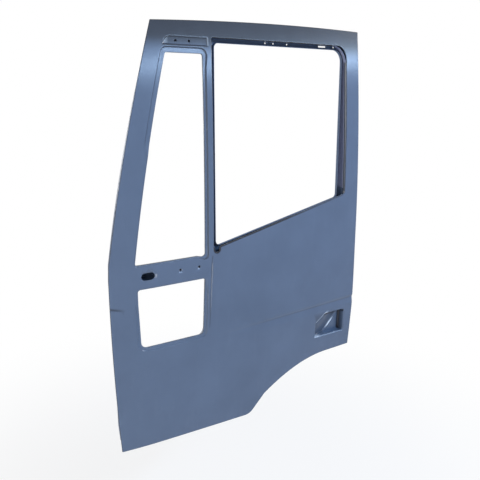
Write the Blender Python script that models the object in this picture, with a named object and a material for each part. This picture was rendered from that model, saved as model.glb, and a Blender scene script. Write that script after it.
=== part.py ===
"""Left door shell of a cab-over truck: pressed skin, inner pressing, channels, reinforcements.

Plan coordinates: u runs rearwards, w runs up from the sill, d runs inboard from the skin.
"""
import math

import bmesh
import bpy
from mathutils import Matrix, Vector
from mathutils.geometry import delaunay_2d_cdt

for old in list(bpy.data.objects):
    bpy.data.objects.remove(old, do_unlink=True)

# Sheet thicknesses and the gap between touching pieces
SKIN = 0.0008
INNER = 0.0010
CHANNEL = 0.0012
STIFFENER = 0.0009
HINGE_PLATE = 0.0025
LATCH_PLATE = 0.0020
MIRROR_PLATE = 0.0025
TAPPING_PLATE = 0.0080
GAP = 0.0003

# Crown of the skin: depth grows with the square of the distance from its flattest zone
CROWN_HIGH = 0.0433
CROWN_HIGH_FROM = 0.750
CROWN_LOW = 0.070
CROWN_LOW_FROM = 0.550
CROWN_SIDE = 0.020
CROWN_SIDE_FROM = 0.620
CROWN_NOSE = 0.250
CROWN_NOSE_FROM = 0.220

# Outer edge of the door, from the foot up the shin to the knee
FOOT_U = 0.0615
FOOT_W = 0.008
SHIN_U = 0.0435
SHIN_W = 0.280
KNEE_U = 0.0365
KNEE_HEIGHT = 0.058

# Heights of the fixed windows, the header and the roof, each stood on the one before
LOWER_SILL_W = 0.4035
LOWER_HEIGHT = 0.2180
LOWER_HEAD_W = LOWER_SILL_W + LOWER_HEIGHT
CROSSBAR_HEIGHT = 0.0885
QUARTER_SILL_W = LOWER_HEAD_W + CROSSBAR_HEIGHT
QUARTER_HEIGHT = 0.7030
QUARTER_HEAD_W = QUARTER_SILL_W + QUARTER_HEIGHT
WINDOW_STEP = 0.0550
WINDOW_HEAD_W = QUARTER_HEAD_W + WINDOW_STEP
HEADER_HEIGHT = 0.0440
ROOF_FRONT_W = WINDOW_HEAD_W + HEADER_HEIGHT
ROOF_RISE = 0.0140
ROOF_REAR_W = ROOF_FRONT_W + ROOF_RISE
ROOF_CROWN = 0.0093

# Slanted pillar, bowed a little forwards
PILLAR_FOOT_STEP = 0.0030
PILLAR_FOOT_RISE = 0.0060
PILLAR_LEAN = 0.1880
PILLAR_BOW = 0.0150
PILLAR_FOOT_U = KNEE_U + PILLAR_FOOT_STEP
PILLAR_FOOT_W = QUARTER_SILL_W + PILLAR_FOOT_RISE
KNEE_W = PILLAR_FOOT_W - KNEE_HEIGHT
ROOF_FRONT_U = PILLAR_FOOT_U + PILLAR_LEAN
PILLAR_MID_U = (PILLAR_FOOT_U + ROOF_FRONT_U) / 2 - PILLAR_BOW
PILLAR_MID_W = (PILLAR_FOOT_W + ROOF_FRONT_W) / 2

# Rear edge, wheel arch and sill
REAR_U = 1.168
REAR_LEAN = 0.016
REAR_BOW = 0.003
HEEL_LEAN = 0.010
ARCH_TOP_REACH = 0.128
ARCH_TOP_W = 0.177
HEEL_STEP = 0.001
ARCH_FOOT_U = 0.690
ARCH_FOOT_W = 0.065
ARCH_BOW = 0.0304
ARCH_TURN = 0.0705
SILL_END_W = -0.010
SILL_END_RADIUS = 0.050
EDGE_RADIUS = 0.003
ROOF_REAR_U = REAR_U - REAR_LEAN
ROOF_MID_U = (ROOF_FRONT_U + ROOF_REAR_U) / 2
ROOF_MID_W = (ROOF_FRONT_W + ROOF_REAR_W) / 2 + ROOF_CROWN
HEEL_U = REAR_U - HEEL_LEAN
HEEL_W = ARCH_TOP_W + HEEL_STEP
ARCH_TOP_U = REAR_U - ARCH_TOP_REACH
ARCH_MID_U = (ARCH_FOOT_U + ARCH_TOP_U) / 2
ARCH_MID_W = (ARCH_FOOT_W + ARCH_TOP_W) / 2 + ARCH_BOW
SILL_END_U = ARCH_FOOT_U - ARCH_TURN

# Hem that folds the skin round the flange of the inner panel
HEM_WIDTH = 0.0115
HEM_START = 0.018
HEM_TIP = 0.0008
FLANGE_WIDTH = 0.016

# Main window: its opening in the skin
DIVISION_FOOT_U = 0.4425
DIVISION_LEAN = 0.0110
DIVISION_HEAD_U = DIVISION_FOOT_U + DIVISION_LEAN
REAR_FRAME_FOOT = 0.0755
REAR_FRAME_HEAD = 0.0680
WINDOW_REAR_RADIUS = 0.075
WINDOW_FRONT_RADIUS = 0.006
BELT_FRONT_REACH = 0.0495
BELT_ABOVE_SILL = 0.0310
BELT_SLOPE = 0.227
BELT_FRONT_U = DIVISION_FOOT_U + BELT_FRONT_REACH
BELT_FRONT_W = QUARTER_SILL_W + BELT_ABOVE_SILL
BELT_REAR_W = BELT_FRONT_W + BELT_SLOPE * (REAR_U - BELT_FRONT_U)
BELT_REAR_RADIUS = 0.010
RELIEF_REACH = 0.0137
RELIEF_DROP = 0.0089
RELIEF_RADIUS = 0.0095
RELIEF_RISE = 0.0160
RELIEF_U = DIVISION_FOOT_U + RELIEF_REACH
RELIEF_W = BELT_FRONT_W + BELT_SLOPE * (RELIEF_U - BELT_FRONT_U) - RELIEF_DROP
DIVISION_FOOT_W = RELIEF_W + RELIEF_RISE
RETURN_DEPTH = 0.014
RETURN_RADIUS = 0.003
BELT_HEM_RADIUS = 0.0018
BELT_HEM_WIDTH = 0.012
NOTCH_DEPTH = 0.003

# The rear edge is straight up to a little above the belt
REAR_TURN_RISE = 0.0590
REAR_STRAIGHT_W = BELT_FRONT_W + REAR_TURN_RISE
REAR_MID_U = (REAR_U + ROOF_REAR_U) / 2 + REAR_BOW
REAR_MID_W = (REAR_STRAIGHT_W + ROOF_REAR_W) / 2

# Main window: its opening in the inner panel
INNER_WINDOW_FRONT = 0.0345
INNER_WINDOW_REAR = 0.0820
INNER_WINDOW_DROP = 0.0135
INNER_BELT_REACH = 0.0875
INNER_BELT_DROP = 0.0070
INNER_BELT_SLOPE = 0.220
INNER_WINDOW_FRONT_U = DIVISION_FOOT_U + INNER_WINDOW_FRONT
INNER_WINDOW_REAR_U = REAR_U - INNER_WINDOW_REAR
INNER_WINDOW_HEAD_W = WINDOW_HEAD_W - INNER_WINDOW_DROP
INNER_BELT_FRONT_U = DIVISION_FOOT_U + INNER_BELT_REACH
INNER_BELT_FRONT_W = BELT_FRONT_W - INNER_BELT_DROP
INNER_WINDOW_REAR_RADIUS = 0.047
INNER_WINDOW_RADIUS = 0.018
LIP_DEPTH = 0.014
LIP_RADIUS = 0.0035

# Fixed quarter window and the fixed window under it
PILLAR_WIDTH_FOOT = 0.093
PILLAR_WIDTH_HEAD = 0.080
BAR_WIDTH = 0.0345
QUARTER_RADIUS = 0.007
QUARTER_DIP_REACH = 0.018
QUARTER_DIP = 0.008
QUARTER_DIP_RADIUS = 0.016
LOWER_FRONT_WIDTH = 0.1015
LOWER_FRONT_RAKE = 0.0080
LOWER_BAR_WIDTH = 0.0375
LOWER_REAR_RAKE = 0.0090
LOWER_FRONT_HEAD_U = KNEE_U + LOWER_FRONT_WIDTH
LOWER_FRONT_FOOT_U = LOWER_FRONT_HEAD_U + LOWER_FRONT_RAKE
LOWER_REAR_HEAD_U = DIVISION_FOOT_U - LOWER_BAR_WIDTH
LOWER_REAR_FOOT_U = LOWER_REAR_HEAD_U - LOWER_REAR_RAKE
LOWER_RADIUS_FRONT = 0.022
LOWER_RADIUS_REAR = 0.015
LOWER_RADIUS_HEAD = 0.009
REBATE_DEPTH = 0.0055
REBATE_WIDE = 0.0200
REBATE_MID = 0.0140
REBATE_BAR = 0.0120
REBATE_SLIM = 0.0050
REBATE_LAND = 0.0030
REBATE_RADIUS = 0.0018
REBATE_RETURN = 0.0050
FUNNEL_BEND = 0.0020
FUNNEL_CLEAR = 0.0007
FUNNEL_WIDTH = BAR_WIDTH - SKIN - GAP - CHANNEL - FUNNEL_BEND - FUNNEL_CLEAR
FUNNEL_MOUTH = 0.0125
FUNNEL_LAP = 0.0050

# Groove under the bar, between the fixed windows and the main skin
GROOVE_REACH = 0.0225
GROOVE_RISE = 0.0315
GROOVE_STOP = 0.0060
GROOVE_LEAN = 0.059
GROOVE_DEPTH = 0.0024
GROOVE_HALF = 0.0045
GROOVE_FADE = 0.060
GROOVE_TOP_FADE = 0.008
GROOVE_U = DIVISION_FOOT_U - GROOVE_REACH
GROOVE_FOOT_W = LOWER_SILL_W + GROOVE_RISE
GROOVE_TOP_W = QUARTER_SILL_W - GROOVE_STOP

# Drawn recess for the outside handle
HANDLE_EDGE = 0.049
HANDLE_ABOVE_ARCH = 0.078
HANDLE_LENGTH = 0.164
HANDLE_HEIGHT = 0.100
HANDLE_CHAMFER_LENGTH = 0.053
HANDLE_CHAMFER_HEIGHT = 0.036
HANDLE_RADIUS = 0.005
HANDLE_HEAD_RADIUS = 0.018
HANDLE_DEPTH = 0.030
HANDLE_RISE = 0.018
HANDLE_REACH = 0.060
HANDLE_DRAFT = 0.004
HANDLE_STEP = 0.0022
HANDLE_LAND = 0.0060
HANDLE_STEP_RUN = 0.0020
HANDLE_FILLET = 0.0015
RIDGE_FOOT_REACH = 0.057
RIDGE_FOOT_RISE = 0.009
RIDGE_HEAD_REACH = 0.127
RIDGE_HEAD_DROP = 0.023
RIDGE_HEIGHT = 0.005
RIDGE_HALF = 0.007
HANDLE_REAR_U = REAR_U - HANDLE_EDGE
HANDLE_FRONT_U = HANDLE_REAR_U - HANDLE_LENGTH
HANDLE_SILL_W = ARCH_TOP_W + HANDLE_ABOVE_ARCH
HANDLE_HEAD_W = HANDLE_SILL_W + HANDLE_HEIGHT
HANDLE_CHAMFER_U = HANDLE_FRONT_U + HANDLE_CHAMFER_LENGTH
HANDLE_CHAMFER_W = HANDLE_HEAD_W - HANDLE_CHAMFER_HEIGHT
RIDGE_FOOT_U = HANDLE_FRONT_U + RIDGE_FOOT_REACH
RIDGE_FOOT_W = HANDLE_SILL_W + RIDGE_FOOT_RISE
RIDGE_HEAD_U = HANDLE_FRONT_U + RIDGE_HEAD_REACH
RIDGE_HEAD_W = HANDLE_HEAD_W - RIDGE_HEAD_DROP

# Feature line over the handle, which ends in a notch at the rear edge
CREASE_ABOVE_HANDLE = 0.021
CREASE_SLOPE = 0.032
CREASE_REACH = 0.0275
CREASE_FADE = 0.250
CREASE_TIP = 0.1
CREASE_DEPTH = 0.0038
CREASE_ABOVE = 0.012
CREASE_BELOW = 0.028
CREASE_W = HANDLE_HEAD_W + CREASE_ABOVE_HANDLE + CREASE_BELOW
CREASE_START_U = DIVISION_FOOT_U + CREASE_REACH

# Recess for the mirror bracket above the quarter window, and the oval hole in the crossbar
RECESS_FRONT = 0.0415
RECESS_REAR = 0.0160
RECESS_CLEAR = 0.0020
RECESS_HEIGHT = 0.0275
RECESS_RADIUS = 0.026
RECESS_DEPTH = 0.0030
RECESS_SLOPE = 0.0030
RECESS_FRONT_U = ROOF_FRONT_U + RECESS_FRONT
RECESS_REAR_U = DIVISION_HEAD_U - RECESS_REAR
RECESS_SILL_W = QUARTER_HEAD_W + REBATE_WIDE + REBATE_LAND + RECESS_CLEAR
RECESS_HEAD_W = RECESS_SILL_W + RECESS_HEIGHT
MIRROR_HOLE = 0.0045
MIRROR_UPPER_REACH = 0.048
MIRROR_UPPER_PITCH = 0.051
MIRROR_UPPER_FRONT_U = RECESS_FRONT_U + MIRROR_UPPER_REACH
MIRROR_UPPER_REAR_U = MIRROR_UPPER_FRONT_U + MIRROR_UPPER_PITCH
MIRROR_UPPER_W = (RECESS_SILL_W + RECESS_HEAD_W) / 2
MIRROR_LOWER_REACH = 0.0635
MIRROR_LOWER_PITCH = 0.077
MIRROR_LOWER_DROP = 0.039
MIRROR_LOWER_REAR_U = DIVISION_FOOT_U - MIRROR_LOWER_REACH
MIRROR_LOWER_FRONT_U = MIRROR_LOWER_REAR_U - MIRROR_LOWER_PITCH
MIRROR_LOWER_W = QUARTER_SILL_W - MIRROR_LOWER_DROP
OVAL_REACH = 0.0385
OVAL_DROP = 0.043
OVAL_LENGTH = 0.050
OVAL_HEIGHT = 0.026
OVAL_U = LOWER_FRONT_HEAD_U + OVAL_REACH
OVAL_W = QUARTER_SILL_W - OVAL_DROP

# Inner panel: its plane at the window frame, and the deeper lower door
FRAME_DEPTH = 0.060
LOWER_DEPTH = 0.084
RAMP = 0.050
RAMP_REACH = 0.0375
RAMP_CLEAR = 0.0035
RAMP_BELOW_BELT = 0.056
RAMP_FRONT_U = DIVISION_FOOT_U + RAMP_REACH
RAMP_FRONT_W = LOWER_SILL_W - FUNNEL_WIDTH - FUNNEL_BEND - RAMP_CLEAR
RAMP_FOOT_W = RAMP_FRONT_W - RAMP
BEND = 0.006
FOOT_BEND = 0.003
ACCESS_RADIUS = 0.035
ACCESS_FLANGE = 0.005
ACCESS_LAND = 0.0040
ACCESS_FRONT = 0.1325
ACCESS_SPLIT = 0.464
ACCESS_POST = 0.060
ACCESS_REAR = 0.108
ACCESS_DROP = 0.028
ACCESS_HEIGHT = 0.340
ACCESS_REAR_HEIGHT = 0.220
ACCESS_FRONT_U = DIVISION_FOOT_U + ACCESS_FRONT
ACCESS_REAR_U = REAR_U - ACCESS_REAR
ACCESS_MID_U = ACCESS_FRONT_U + ACCESS_SPLIT * (ACCESS_REAR_U - ACCESS_FRONT_U)
ACCESS_HEAD_W = (INNER_BELT_FRONT_W + INNER_BELT_SLOPE * (ACCESS_FRONT_U - INNER_BELT_FRONT_U)
                 - RAMP_BELOW_BELT - RAMP - ACCESS_DROP)
ACCESS_SILL_W = ACCESS_HEAD_W - ACCESS_HEIGHT
ACCESS_REAR_SILL_W = ACCESS_HEAD_W - ACCESS_REAR_HEIGHT
POCKET_U = 0.275
POCKET_RADIUS = 0.075
POCKET_DROP = 0.055
POCKET_W = RAMP_FOOT_W - POCKET_DROP - POCKET_RADIUS
CLIP_HOLE = 0.0040
CLIP_INSET = 0.042
CLIP_REAR_INSET = 0.030
HEADER_SLOT_REACH = 0.163
HEADER_SLOT_LENGTH = 0.038
HEADER_SLOT_RISE = 0.0095
HEADER_SLOT_HEIGHT = 0.0055
HEADER_SLOT_RADIUS = 0.0020
HEADER_HOLE = 0.0028
HEADER_HOLE_REACHES = (0.460, 0.423, 0.358, 0.121)
HEADER_SLOT_REAR_U = REAR_U - HEADER_SLOT_REACH
HEADER_SLOT_FRONT_U = HEADER_SLOT_REAR_U - HEADER_SLOT_LENGTH
HEADER_SLOT_W = INNER_WINDOW_HEAD_W + HEADER_SLOT_RISE

# Hinges, check strap and latch
LOWER_HINGE_W = 0.150
UPPER_HINGE_W = 0.550
HINGE_PAD_HALF = 0.055
HINGE_DEPTH = 0.041
HINGE_BOLT_REACH = 0.032
HINGE_BOLT = 0.0055
HINGE_PLATE_CLEAR = 0.0110
HINGE_PLATE_FLANGE = 0.0240
HINGE_PLATE_LAP = 0.0060
TAPPED_HOLE = 0.0043
TAPPING_HALF = 0.045
TAPPING_WIDTH = 0.018
STRAP_HALF = 0.022
STRAP_DEPTH = 0.052
STRAP_SLOT_WIDTH = 0.012
STRAP_SLOT_HEIGHT = 0.030
LATCH_W = 0.500
LATCH_PAD_HALF = 0.060
LATCH_PLATE_HALF = 0.048
LATCH_PLATE_REACH = 0.030
LATCH_PLATE_FLANGE = 0.020
LATCH_DEPTH = 0.046
LATCH_SLOT_WIDTH = 0.040
LATCH_SLOT_HEIGHT = 0.026
LATCH_BOLT_REACH = 0.030
LATCH_BOLT = 0.0035

# Channels, stiffener and nuts
RUN_CHANNEL_STEP = 0.0175
RUN_CHANNEL_BASE = 0.014
RUN_CHANNEL_END = 0.006
DIVISION_CHANNEL_DROP = 0.050
DIVISION_CHANNEL_FLANGE = 0.014
DIVISION_CHANNEL_FOOT_W = QUARTER_SILL_W - DIVISION_CHANNEL_DROP
GLASS_CHANNEL_OUT = 0.026
GLASS_CHANNEL_IN = 0.046
GLASS_CHANNEL_LEG = 0.012
GLASS_CHANNEL_LENGTH = 0.210
GLASS_CHANNEL_FOOT_W = DIVISION_CHANNEL_FOOT_W - GLASS_CHANNEL_LENGTH
BRACKET_HEIGHT = 0.030
BRACKET_FLANGE = 0.016
BELT_HAT_DEPTH = 0.012
BELT_HAT_RUN = 0.006
BELT_FLANGE = 0.012
BELT_CAP = 0.018
BELT_OUTER_HEIGHT = 0.070
BELT_INNER_HEIGHT = 0.049
STIFFENER_DROP = 0.056
STIFFENER_HALF = 0.040
STIFFENER_CROWN_HALF = 0.018
STIFFENER_HEIGHT = 0.012
STIFFENER_RUN = 0.006
STIFFENER_REACH = 0.0325
STIFFENER_FRONT_U = DIVISION_FOOT_U + STIFFENER_REACH
STIFFENER_W = BELT_FRONT_W - BELT_OUTER_HEIGHT - STIFFENER_HALF - STIFFENER_DROP
MASTIC = 0.0027
MASTIC_LENGTH = 0.060
MASTIC_WIDTH = 0.012
MASTIC_FRONT_SHARE = 0.15
MASTIC_REAR_SHARE = 0.80
PILLAR_STRIP_INSET = 0.036
PILLAR_STRIP_FLANGE = 0.010
MIRROR_PLATE_REACH = 0.022
MIRROR_PLATE_UPPER_HALF = 0.009
MIRROR_PLATE_LOWER_HALF = 0.016
NUT_FLATS = 0.013
NUT_HEIGHT = 0.0065
NUT_BORE = 0.0034

CORNER_STEPS = 3
WIDE_CORNER_STEPS = 6
WIDE_CORNER = 0.030
FIELD_SPACING = 0.105
SNAP = 0.009
LEAST_RADIUS = 0.0012
SKIN_DATUM = 0
INNER_DATUM = 1
DOOR_DATUM = 2
HANDLE_DATUM = 3
NOMINAL = {SKIN_DATUM: 0.0, INNER_DATUM: 0.050, DOOR_DATUM: 0.0, HANDLE_DATUM: 0.020}


def clamp(value):
    return min(1.0, max(0.0, value))


def parabola(t, t0, v0, t1, v1, t2, v2):
    """Value at t of the parabola through three points."""
    first = v0 * (t - t1) * (t - t2) / ((t0 - t1) * (t0 - t2))
    second = v1 * (t - t0) * (t - t2) / ((t1 - t0) * (t1 - t2))
    third = v2 * (t - t0) * (t - t1) / ((t2 - t0) * (t2 - t1))
    return first + second + third


def between(a, b, count):
    """Values strictly between a and b, evenly spaced."""
    return [a + (b - a) * (k + 1) / (count + 1) for k in range(count)]


def shin_u(w):
    return parabola(w, FOOT_W, FOOT_U, SHIN_W, SHIN_U, KNEE_W, KNEE_U)


def pillar_u(w):
    return parabola(w, PILLAR_FOOT_W, PILLAR_FOOT_U, PILLAR_MID_W, PILLAR_MID_U,
                    ROOF_FRONT_W, ROOF_FRONT_U)


def roof_w(u):
    return parabola(u, ROOF_FRONT_U, ROOF_FRONT_W, ROOF_MID_U, ROOF_MID_W,
                    ROOF_REAR_U, ROOF_REAR_W)


def front_u(w):
    """Front edge: the shin up to the knee, a short turn, then the slanted pillar."""
    if w <= KNEE_W:
        return shin_u(w)
    if w >= PILLAR_FOOT_W:
        return pillar_u(w)
    return KNEE_U + (PILLAR_FOOT_U - KNEE_U) * (w - KNEE_W) / (PILLAR_FOOT_W - KNEE_W)


def rear_u(w):
    if w < REAR_STRAIGHT_W:
        return REAR_U
    return parabola(w, REAR_STRAIGHT_W, REAR_U, REAR_MID_W, REAR_MID_U, ROOF_REAR_W, ROOF_REAR_U)


def crease_w(u):
    return CREASE_W + CREASE_SLOPE * (u - REAR_U)


def groove_u(w):
    return GROOVE_U + GROOVE_LEAN * (w - GROOVE_FOOT_W)


def belt_w(u):
    return BELT_FRONT_W + BELT_SLOPE * (u - BELT_FRONT_U)


def inner_belt_w(u):
    return INNER_BELT_FRONT_W + INNER_BELT_SLOPE * (u - INNER_BELT_FRONT_U)


def division_u(w):
    share = (w - DIVISION_FOOT_W) / (WINDOW_HEAD_W - DIVISION_FOOT_W)
    return DIVISION_FOOT_U + (DIVISION_HEAD_U - DIVISION_FOOT_U) * share


def window_rear_u(w):
    share = (w - BELT_REAR_W) / (WINDOW_HEAD_W - WINDOW_REAR_RADIUS - BELT_REAR_W)
    return rear_u(w) - REAR_FRAME_FOOT - (REAR_FRAME_HEAD - REAR_FRAME_FOOT) * share


def quarter_front_u(w):
    share = (w - QUARTER_SILL_W) / (QUARTER_HEAD_W - QUARTER_SILL_W)
    return pillar_u(w) + PILLAR_WIDTH_FOOT + (PILLAR_WIDTH_HEAD - PILLAR_WIDTH_FOOT) * share


def recess_inset(u, w):
    """Distance inside the edge of the mirror recess, whose front end is rounded."""
    inset = min(u - RECESS_FRONT_U, RECESS_REAR_U - u, w - RECESS_SILL_W, RECESS_HEAD_W - w)
    ahead = RECESS_FRONT_U + RECESS_RADIUS - u
    above = w - RECESS_HEAD_W + RECESS_RADIUS
    if ahead > 0 and above > 0:
        inset = min(inset, RECESS_RADIUS - math.hypot(ahead, above))
    return inset


def crown(u, w):
    """Depth of the skin's outer face behind the door's foremost plane."""
    depth = CROWN_HIGH * max(0.0, w - CROWN_HIGH_FROM) ** 2
    depth += CROWN_LOW * max(0.0, CROWN_LOW_FROM - w) ** 2
    depth += CROWN_SIDE * (u - CROWN_SIDE_FROM) ** 2
    depth += CROWN_NOSE * max(0.0, CROWN_NOSE_FROM - u) ** 2
    rise = w - crease_w(u)
    reach = CREASE_ABOVE if rise > 0 else CREASE_BELOW
    fade = clamp((u - CREASE_START_U) / CREASE_FADE)
    depth += CREASE_DEPTH * fade * clamp(1 - abs(rise) / reach)
    ends = min(clamp((w - GROOVE_FOOT_W) / GROOVE_FADE), clamp((GROOVE_TOP_W - w) / GROOVE_TOP_FADE))
    depth += GROOVE_DEPTH * ends * clamp(1 - abs(u - groove_u(w)) / GROOVE_HALF)
    return depth + RECESS_DEPTH * clamp(recess_inset(u, w) / RECESS_SLOPE)


def inner_plane(u, w):
    """Depth of the inner panel's outboard face: deeper in the lower door, with ramps between."""
    front = clamp((RAMP_FRONT_W - w) / RAMP)
    main = clamp((inner_belt_w(u) - RAMP_BELOW_BELT - w) / RAMP) * clamp((u - RAMP_FRONT_U) / RAMP)
    return FRAME_DEPTH + (LOWER_DEPTH - FRAME_DEPTH) * max(front, main)


def datum(u, w, kind):
    if kind == SKIN_DATUM:
        return crown(u, w)
    if kind == INNER_DATUM:
        return inner_plane(u, w)
    if kind == HANDLE_DATUM:
        return handle_floor(u, w)
    return 0.0


# The origin is the middle of the lower hinge pad, on its outer face
LOWER_PAD = (LOWER_HINGE_W - HINGE_PAD_HALF, LOWER_HINGE_W + HINGE_PAD_HALF)
UPPER_PAD = (UPPER_HINGE_W - HINGE_PAD_HALF, UPPER_HINGE_W + HINGE_PAD_HALF)
PAD_WALL_LOWER_U = max(front_u(w) for w in LOWER_PAD) + FLANGE_WIDTH
PAD_WALL_UPPER_U = max(front_u(w) for w in UPPER_PAD) + FLANGE_WIDTH
ORIGIN_U = PAD_WALL_LOWER_U - INNER


def place(u, w, depth):
    return Vector((u - ORIGIN_U, depth - HINGE_DEPTH, w - LOWER_HINGE_W))


def unit(a, b):
    length = math.hypot(b[0] - a[0], b[1] - a[1])
    return (b[0] - a[0]) / length, (b[1] - a[1]) / length


def mitres(points, closed=True):
    """Left-hand mitre vector at each point of a path."""
    result = []
    count = len(points)
    for i, here in enumerate(points):
        before = points[i - 1] if closed or i > 0 else None
        after = points[(i + 1) % count] if closed or i < count - 1 else None
        ahead = unit(here, after) if after else unit(before, here)
        behind = unit(before, here) if before else ahead
        scale = 1 + behind[0] * ahead[0] + behind[1] * ahead[1]
        result.append((-(behind[1] + ahead[1]) / scale, (behind[0] + ahead[0]) / scale))
    return result


def offset_left(points, distance):
    """Parallel copy of an open path, to its left."""
    normals = mitres(points, closed=False)
    return [(p[0] + distance * n[0], p[1] + distance * n[1]) for p, n in zip(points, normals)]


def round_corner(before, corner, after, radius, steps):
    """Arc of the given radius in place of a corner."""
    into = unit(before, corner)
    out = unit(corner, after)
    cross = into[0] * out[1] - into[1] * out[0]
    turn = math.atan2(cross, into[0] * out[0] + into[1] * out[1])
    room = min(math.dist(before, corner), math.dist(corner, after)) * 0.48
    tangent = min(radius * math.tan(abs(turn) / 2), room)
    radius = tangent / math.tan(abs(turn) / 2)
    side = math.copysign(1.0, turn)
    start = (corner[0] - into[0] * tangent, corner[1] - into[1] * tangent)
    centre = (start[0] - side * into[1] * radius, start[1] + side * into[0] * radius)
    arm = (start[0] - centre[0], start[1] - centre[1])
    points = []
    for k in range(steps + 1):
        angle = turn * k / steps
        cos, sin = math.cos(angle), math.sin(angle)
        points.append((centre[0] + arm[0] * cos - arm[1] * sin, centre[1] + arm[0] * sin + arm[1] * cos))
    return points


def rounded(path, radius, steps):
    """Open path with each inner corner rounded."""
    points = [path[0]]
    for i in range(1, len(path) - 1):
        points += round_corner(path[i - 1], path[i], path[i + 1], radius, steps)
    points.append(path[-1])
    return [p for i, p in enumerate(points) if i == 0 or math.dist(p, points[i - 1]) > 1e-6]


class Edge:
    """A closed outline in plan, counter-clockwise, and the folds that run off it.

    The outline is a list of (u, w) or, for a rounded corner, (u, w, radius). Each fold is a list
    of (s, depth, datum), with s away from the sheet. A fold may lie on an outline of its own.
    """

    def __init__(self, outline, fold, hole=True, own=None, floor=None):
        self.outline = outline
        self.side = 1 if hole else -1
        self.fold = fold if callable(fold) else (lambda index: fold)
        self.own = own or {}
        self.floor = floor
        self.count = len(self.fold(0))

    def rail(self, k, thickness):
        """Points (u, w, depth) of fold line k on the near face, or on the far one."""
        outline, shift = self.own.get(k, (self.outline, 0.0))
        normals = mitres(outline)
        moved = []
        levels = []
        for index, (point, normal) in enumerate(zip(outline, normals)):
            fold = self.fold(index)
            flat = [(s, depth + NOMINAL[kind]) for s, depth, kind in fold]
            shifted = offset_left(flat, thickness)[k] if thickness else flat[k]
            if k == 0:
                shifted = (flat[0][0], flat[0][1] + thickness)
            s = (shifted[0] + shift) * self.side
            moved.append((point[0] + s * normal[0], point[1] + s * normal[1]))
            levels.append((fold[k][1] + shifted[1] - flat[k][1], fold[k][2], s))
        result = []
        count = len(moved)
        for index, point in enumerate(moved):
            spots = [point]
            if len(outline[index]) > 2:
                before = moved[index - 1]
                after = moved[(index + 1) % count]
                into = unit(before, point)
                out = unit(point, after)
                cross = into[0] * out[1] - into[1] * out[0]
                radius = outline[index][2] - math.copysign(levels[index][2], levels[index][2] * cross)
                steps = WIDE_CORNER_STEPS if outline[index][2] > WIDE_CORNER else CORNER_STEPS
                spots = round_corner(before, point, after, max(radius, LEAST_RADIUS), steps)
            for u, w in spots:
                result.append((u, w, datum(u, w, levels[index][1]) + levels[index][0]))
        return result


def inside(point, ring):
    """Whether a point lies inside a closed ring, by the even-odd rule."""
    hit = False
    for i, a in enumerate(ring):
        b = ring[i - 1]
        if (a[1] > point[1]) != (b[1] > point[1]):
            if point[0] < a[0] + (b[0] - a[0]) * (point[1] - a[1]) / (b[1] - a[1]):
                hit = not hit
    return hit


def segment_distance(point, a, b):
    du, dw = b[0] - a[0], b[1] - a[1]
    share = clamp(((point[0] - a[0]) * du + (point[1] - a[1]) * dw) / (du * du + dw * dw))
    return math.hypot(point[0] - a[0] - share * du, point[1] - a[1] - share * dw)


def reached(faces, plan, borders):
    """Faces that can be reached from the border's own inner side without crossing a border."""
    sharing = {}
    for index, face in enumerate(faces):
        for a, b in zip(face, tuple(face[1:]) + tuple(face[:1])):
            sharing.setdefault(frozenset((a, b)), []).append(index)
    hull = {edge for edge, owners in sharing.items() if len(owners) == 1}
    outside = {}
    waiting = [(sharing[edge][0], edge not in borders) for edge in hull]
    while waiting:
        index, is_out = waiting.pop()
        if index in outside:
            continue
        outside[index] = is_out
        face = faces[index]
        for a, b in zip(face, tuple(face[1:]) + tuple(face[:1])):
            edge = frozenset((a, b))
            crossed = edge in borders
            for other in sharing[edge]:
                if other not in outside:
                    waiting.append((other, is_out != crossed))
    return [tuple(faces[index]) for index in sorted(outside) if not outside[index]]


def fill(rings, lines, spacing):
    """Triangles between the first ring and the others, with fold lines kept as edges."""
    points = [p[:2] for ring in rings for p in ring]
    segments = []
    start = 0
    for ring in rings:
        segments += [(start + i, start + (i + 1) % len(ring)) for i in range(len(ring))]
        start += len(ring)
    borders = len(points)
    for line in lines:
        last = None
        for k, p in enumerate(line):
            nearest = min(range(borders), key=lambda i: math.dist(points[i], p))
            if 0 < k < len(line) - 1 or math.dist(points[nearest], p) > SNAP:
                nearest = len(points)
                points.append(p)
            if last is not None and last != nearest:
                segments.append((last, nearest))
            last = nearest
    low_u, high_u = min(p[0] for p in points), max(p[0] for p in points)
    low_w, high_w = min(p[1] for p in points), max(p[1] for p in points)
    columns = max(1, round((high_u - low_u) / spacing))
    rows = max(1, round((high_w - low_w) / spacing))
    loose = []
    for u in between(low_u, high_u, columns):
        for w in between(low_w, high_w, rows):
            if inside((u, w), rings[0]) and not any(inside((u, w), ring) for ring in rings[1:]):
                if all(segment_distance((u, w), points[a], points[b]) > spacing * 0.3
                       for a, b in segments):
                    loose.append((u, w))
    points += loose
    scaled = [Vector((u * 1000, w * 1000)) for u, w in points]
    found, _, faces, origins, _, _ = delaunay_2d_cdt(scaled, segments, [], 0, 1e-4)
    plan = [(v.x / 1000, v.y / 1000) for v in found]
    slot = {}
    for index, sources in enumerate(origins):
        for source in sources:
            slot[source] = index
            plan[index] = points[source]
    kept = reached(faces, plan, {frozenset((slot[a], slot[b])) for a, b in segments[:borders]})
    used = {i for face in kept for i in face}
    order = {old: new for new, old in enumerate(sorted(used))}
    plan = [plan[i] for i in sorted(used)]
    kept = [tuple(order[i] for i in face) for face in kept]
    ring_slots = []
    start = 0
    for ring in rings:
        ring_slots.append([order[slot[start + i]] for i in range(len(ring))])
        start += len(ring)
    return plan, kept, ring_slots


def band(bm, one, two):
    """Triangles between two closed rows of vertices."""
    count = len(one)
    for i in range(count):
        j = (i + 1) % count
        bm.faces.new((one[i], one[j], two[j]))
        bm.faces.new((one[i], two[j], two[i]))


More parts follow.
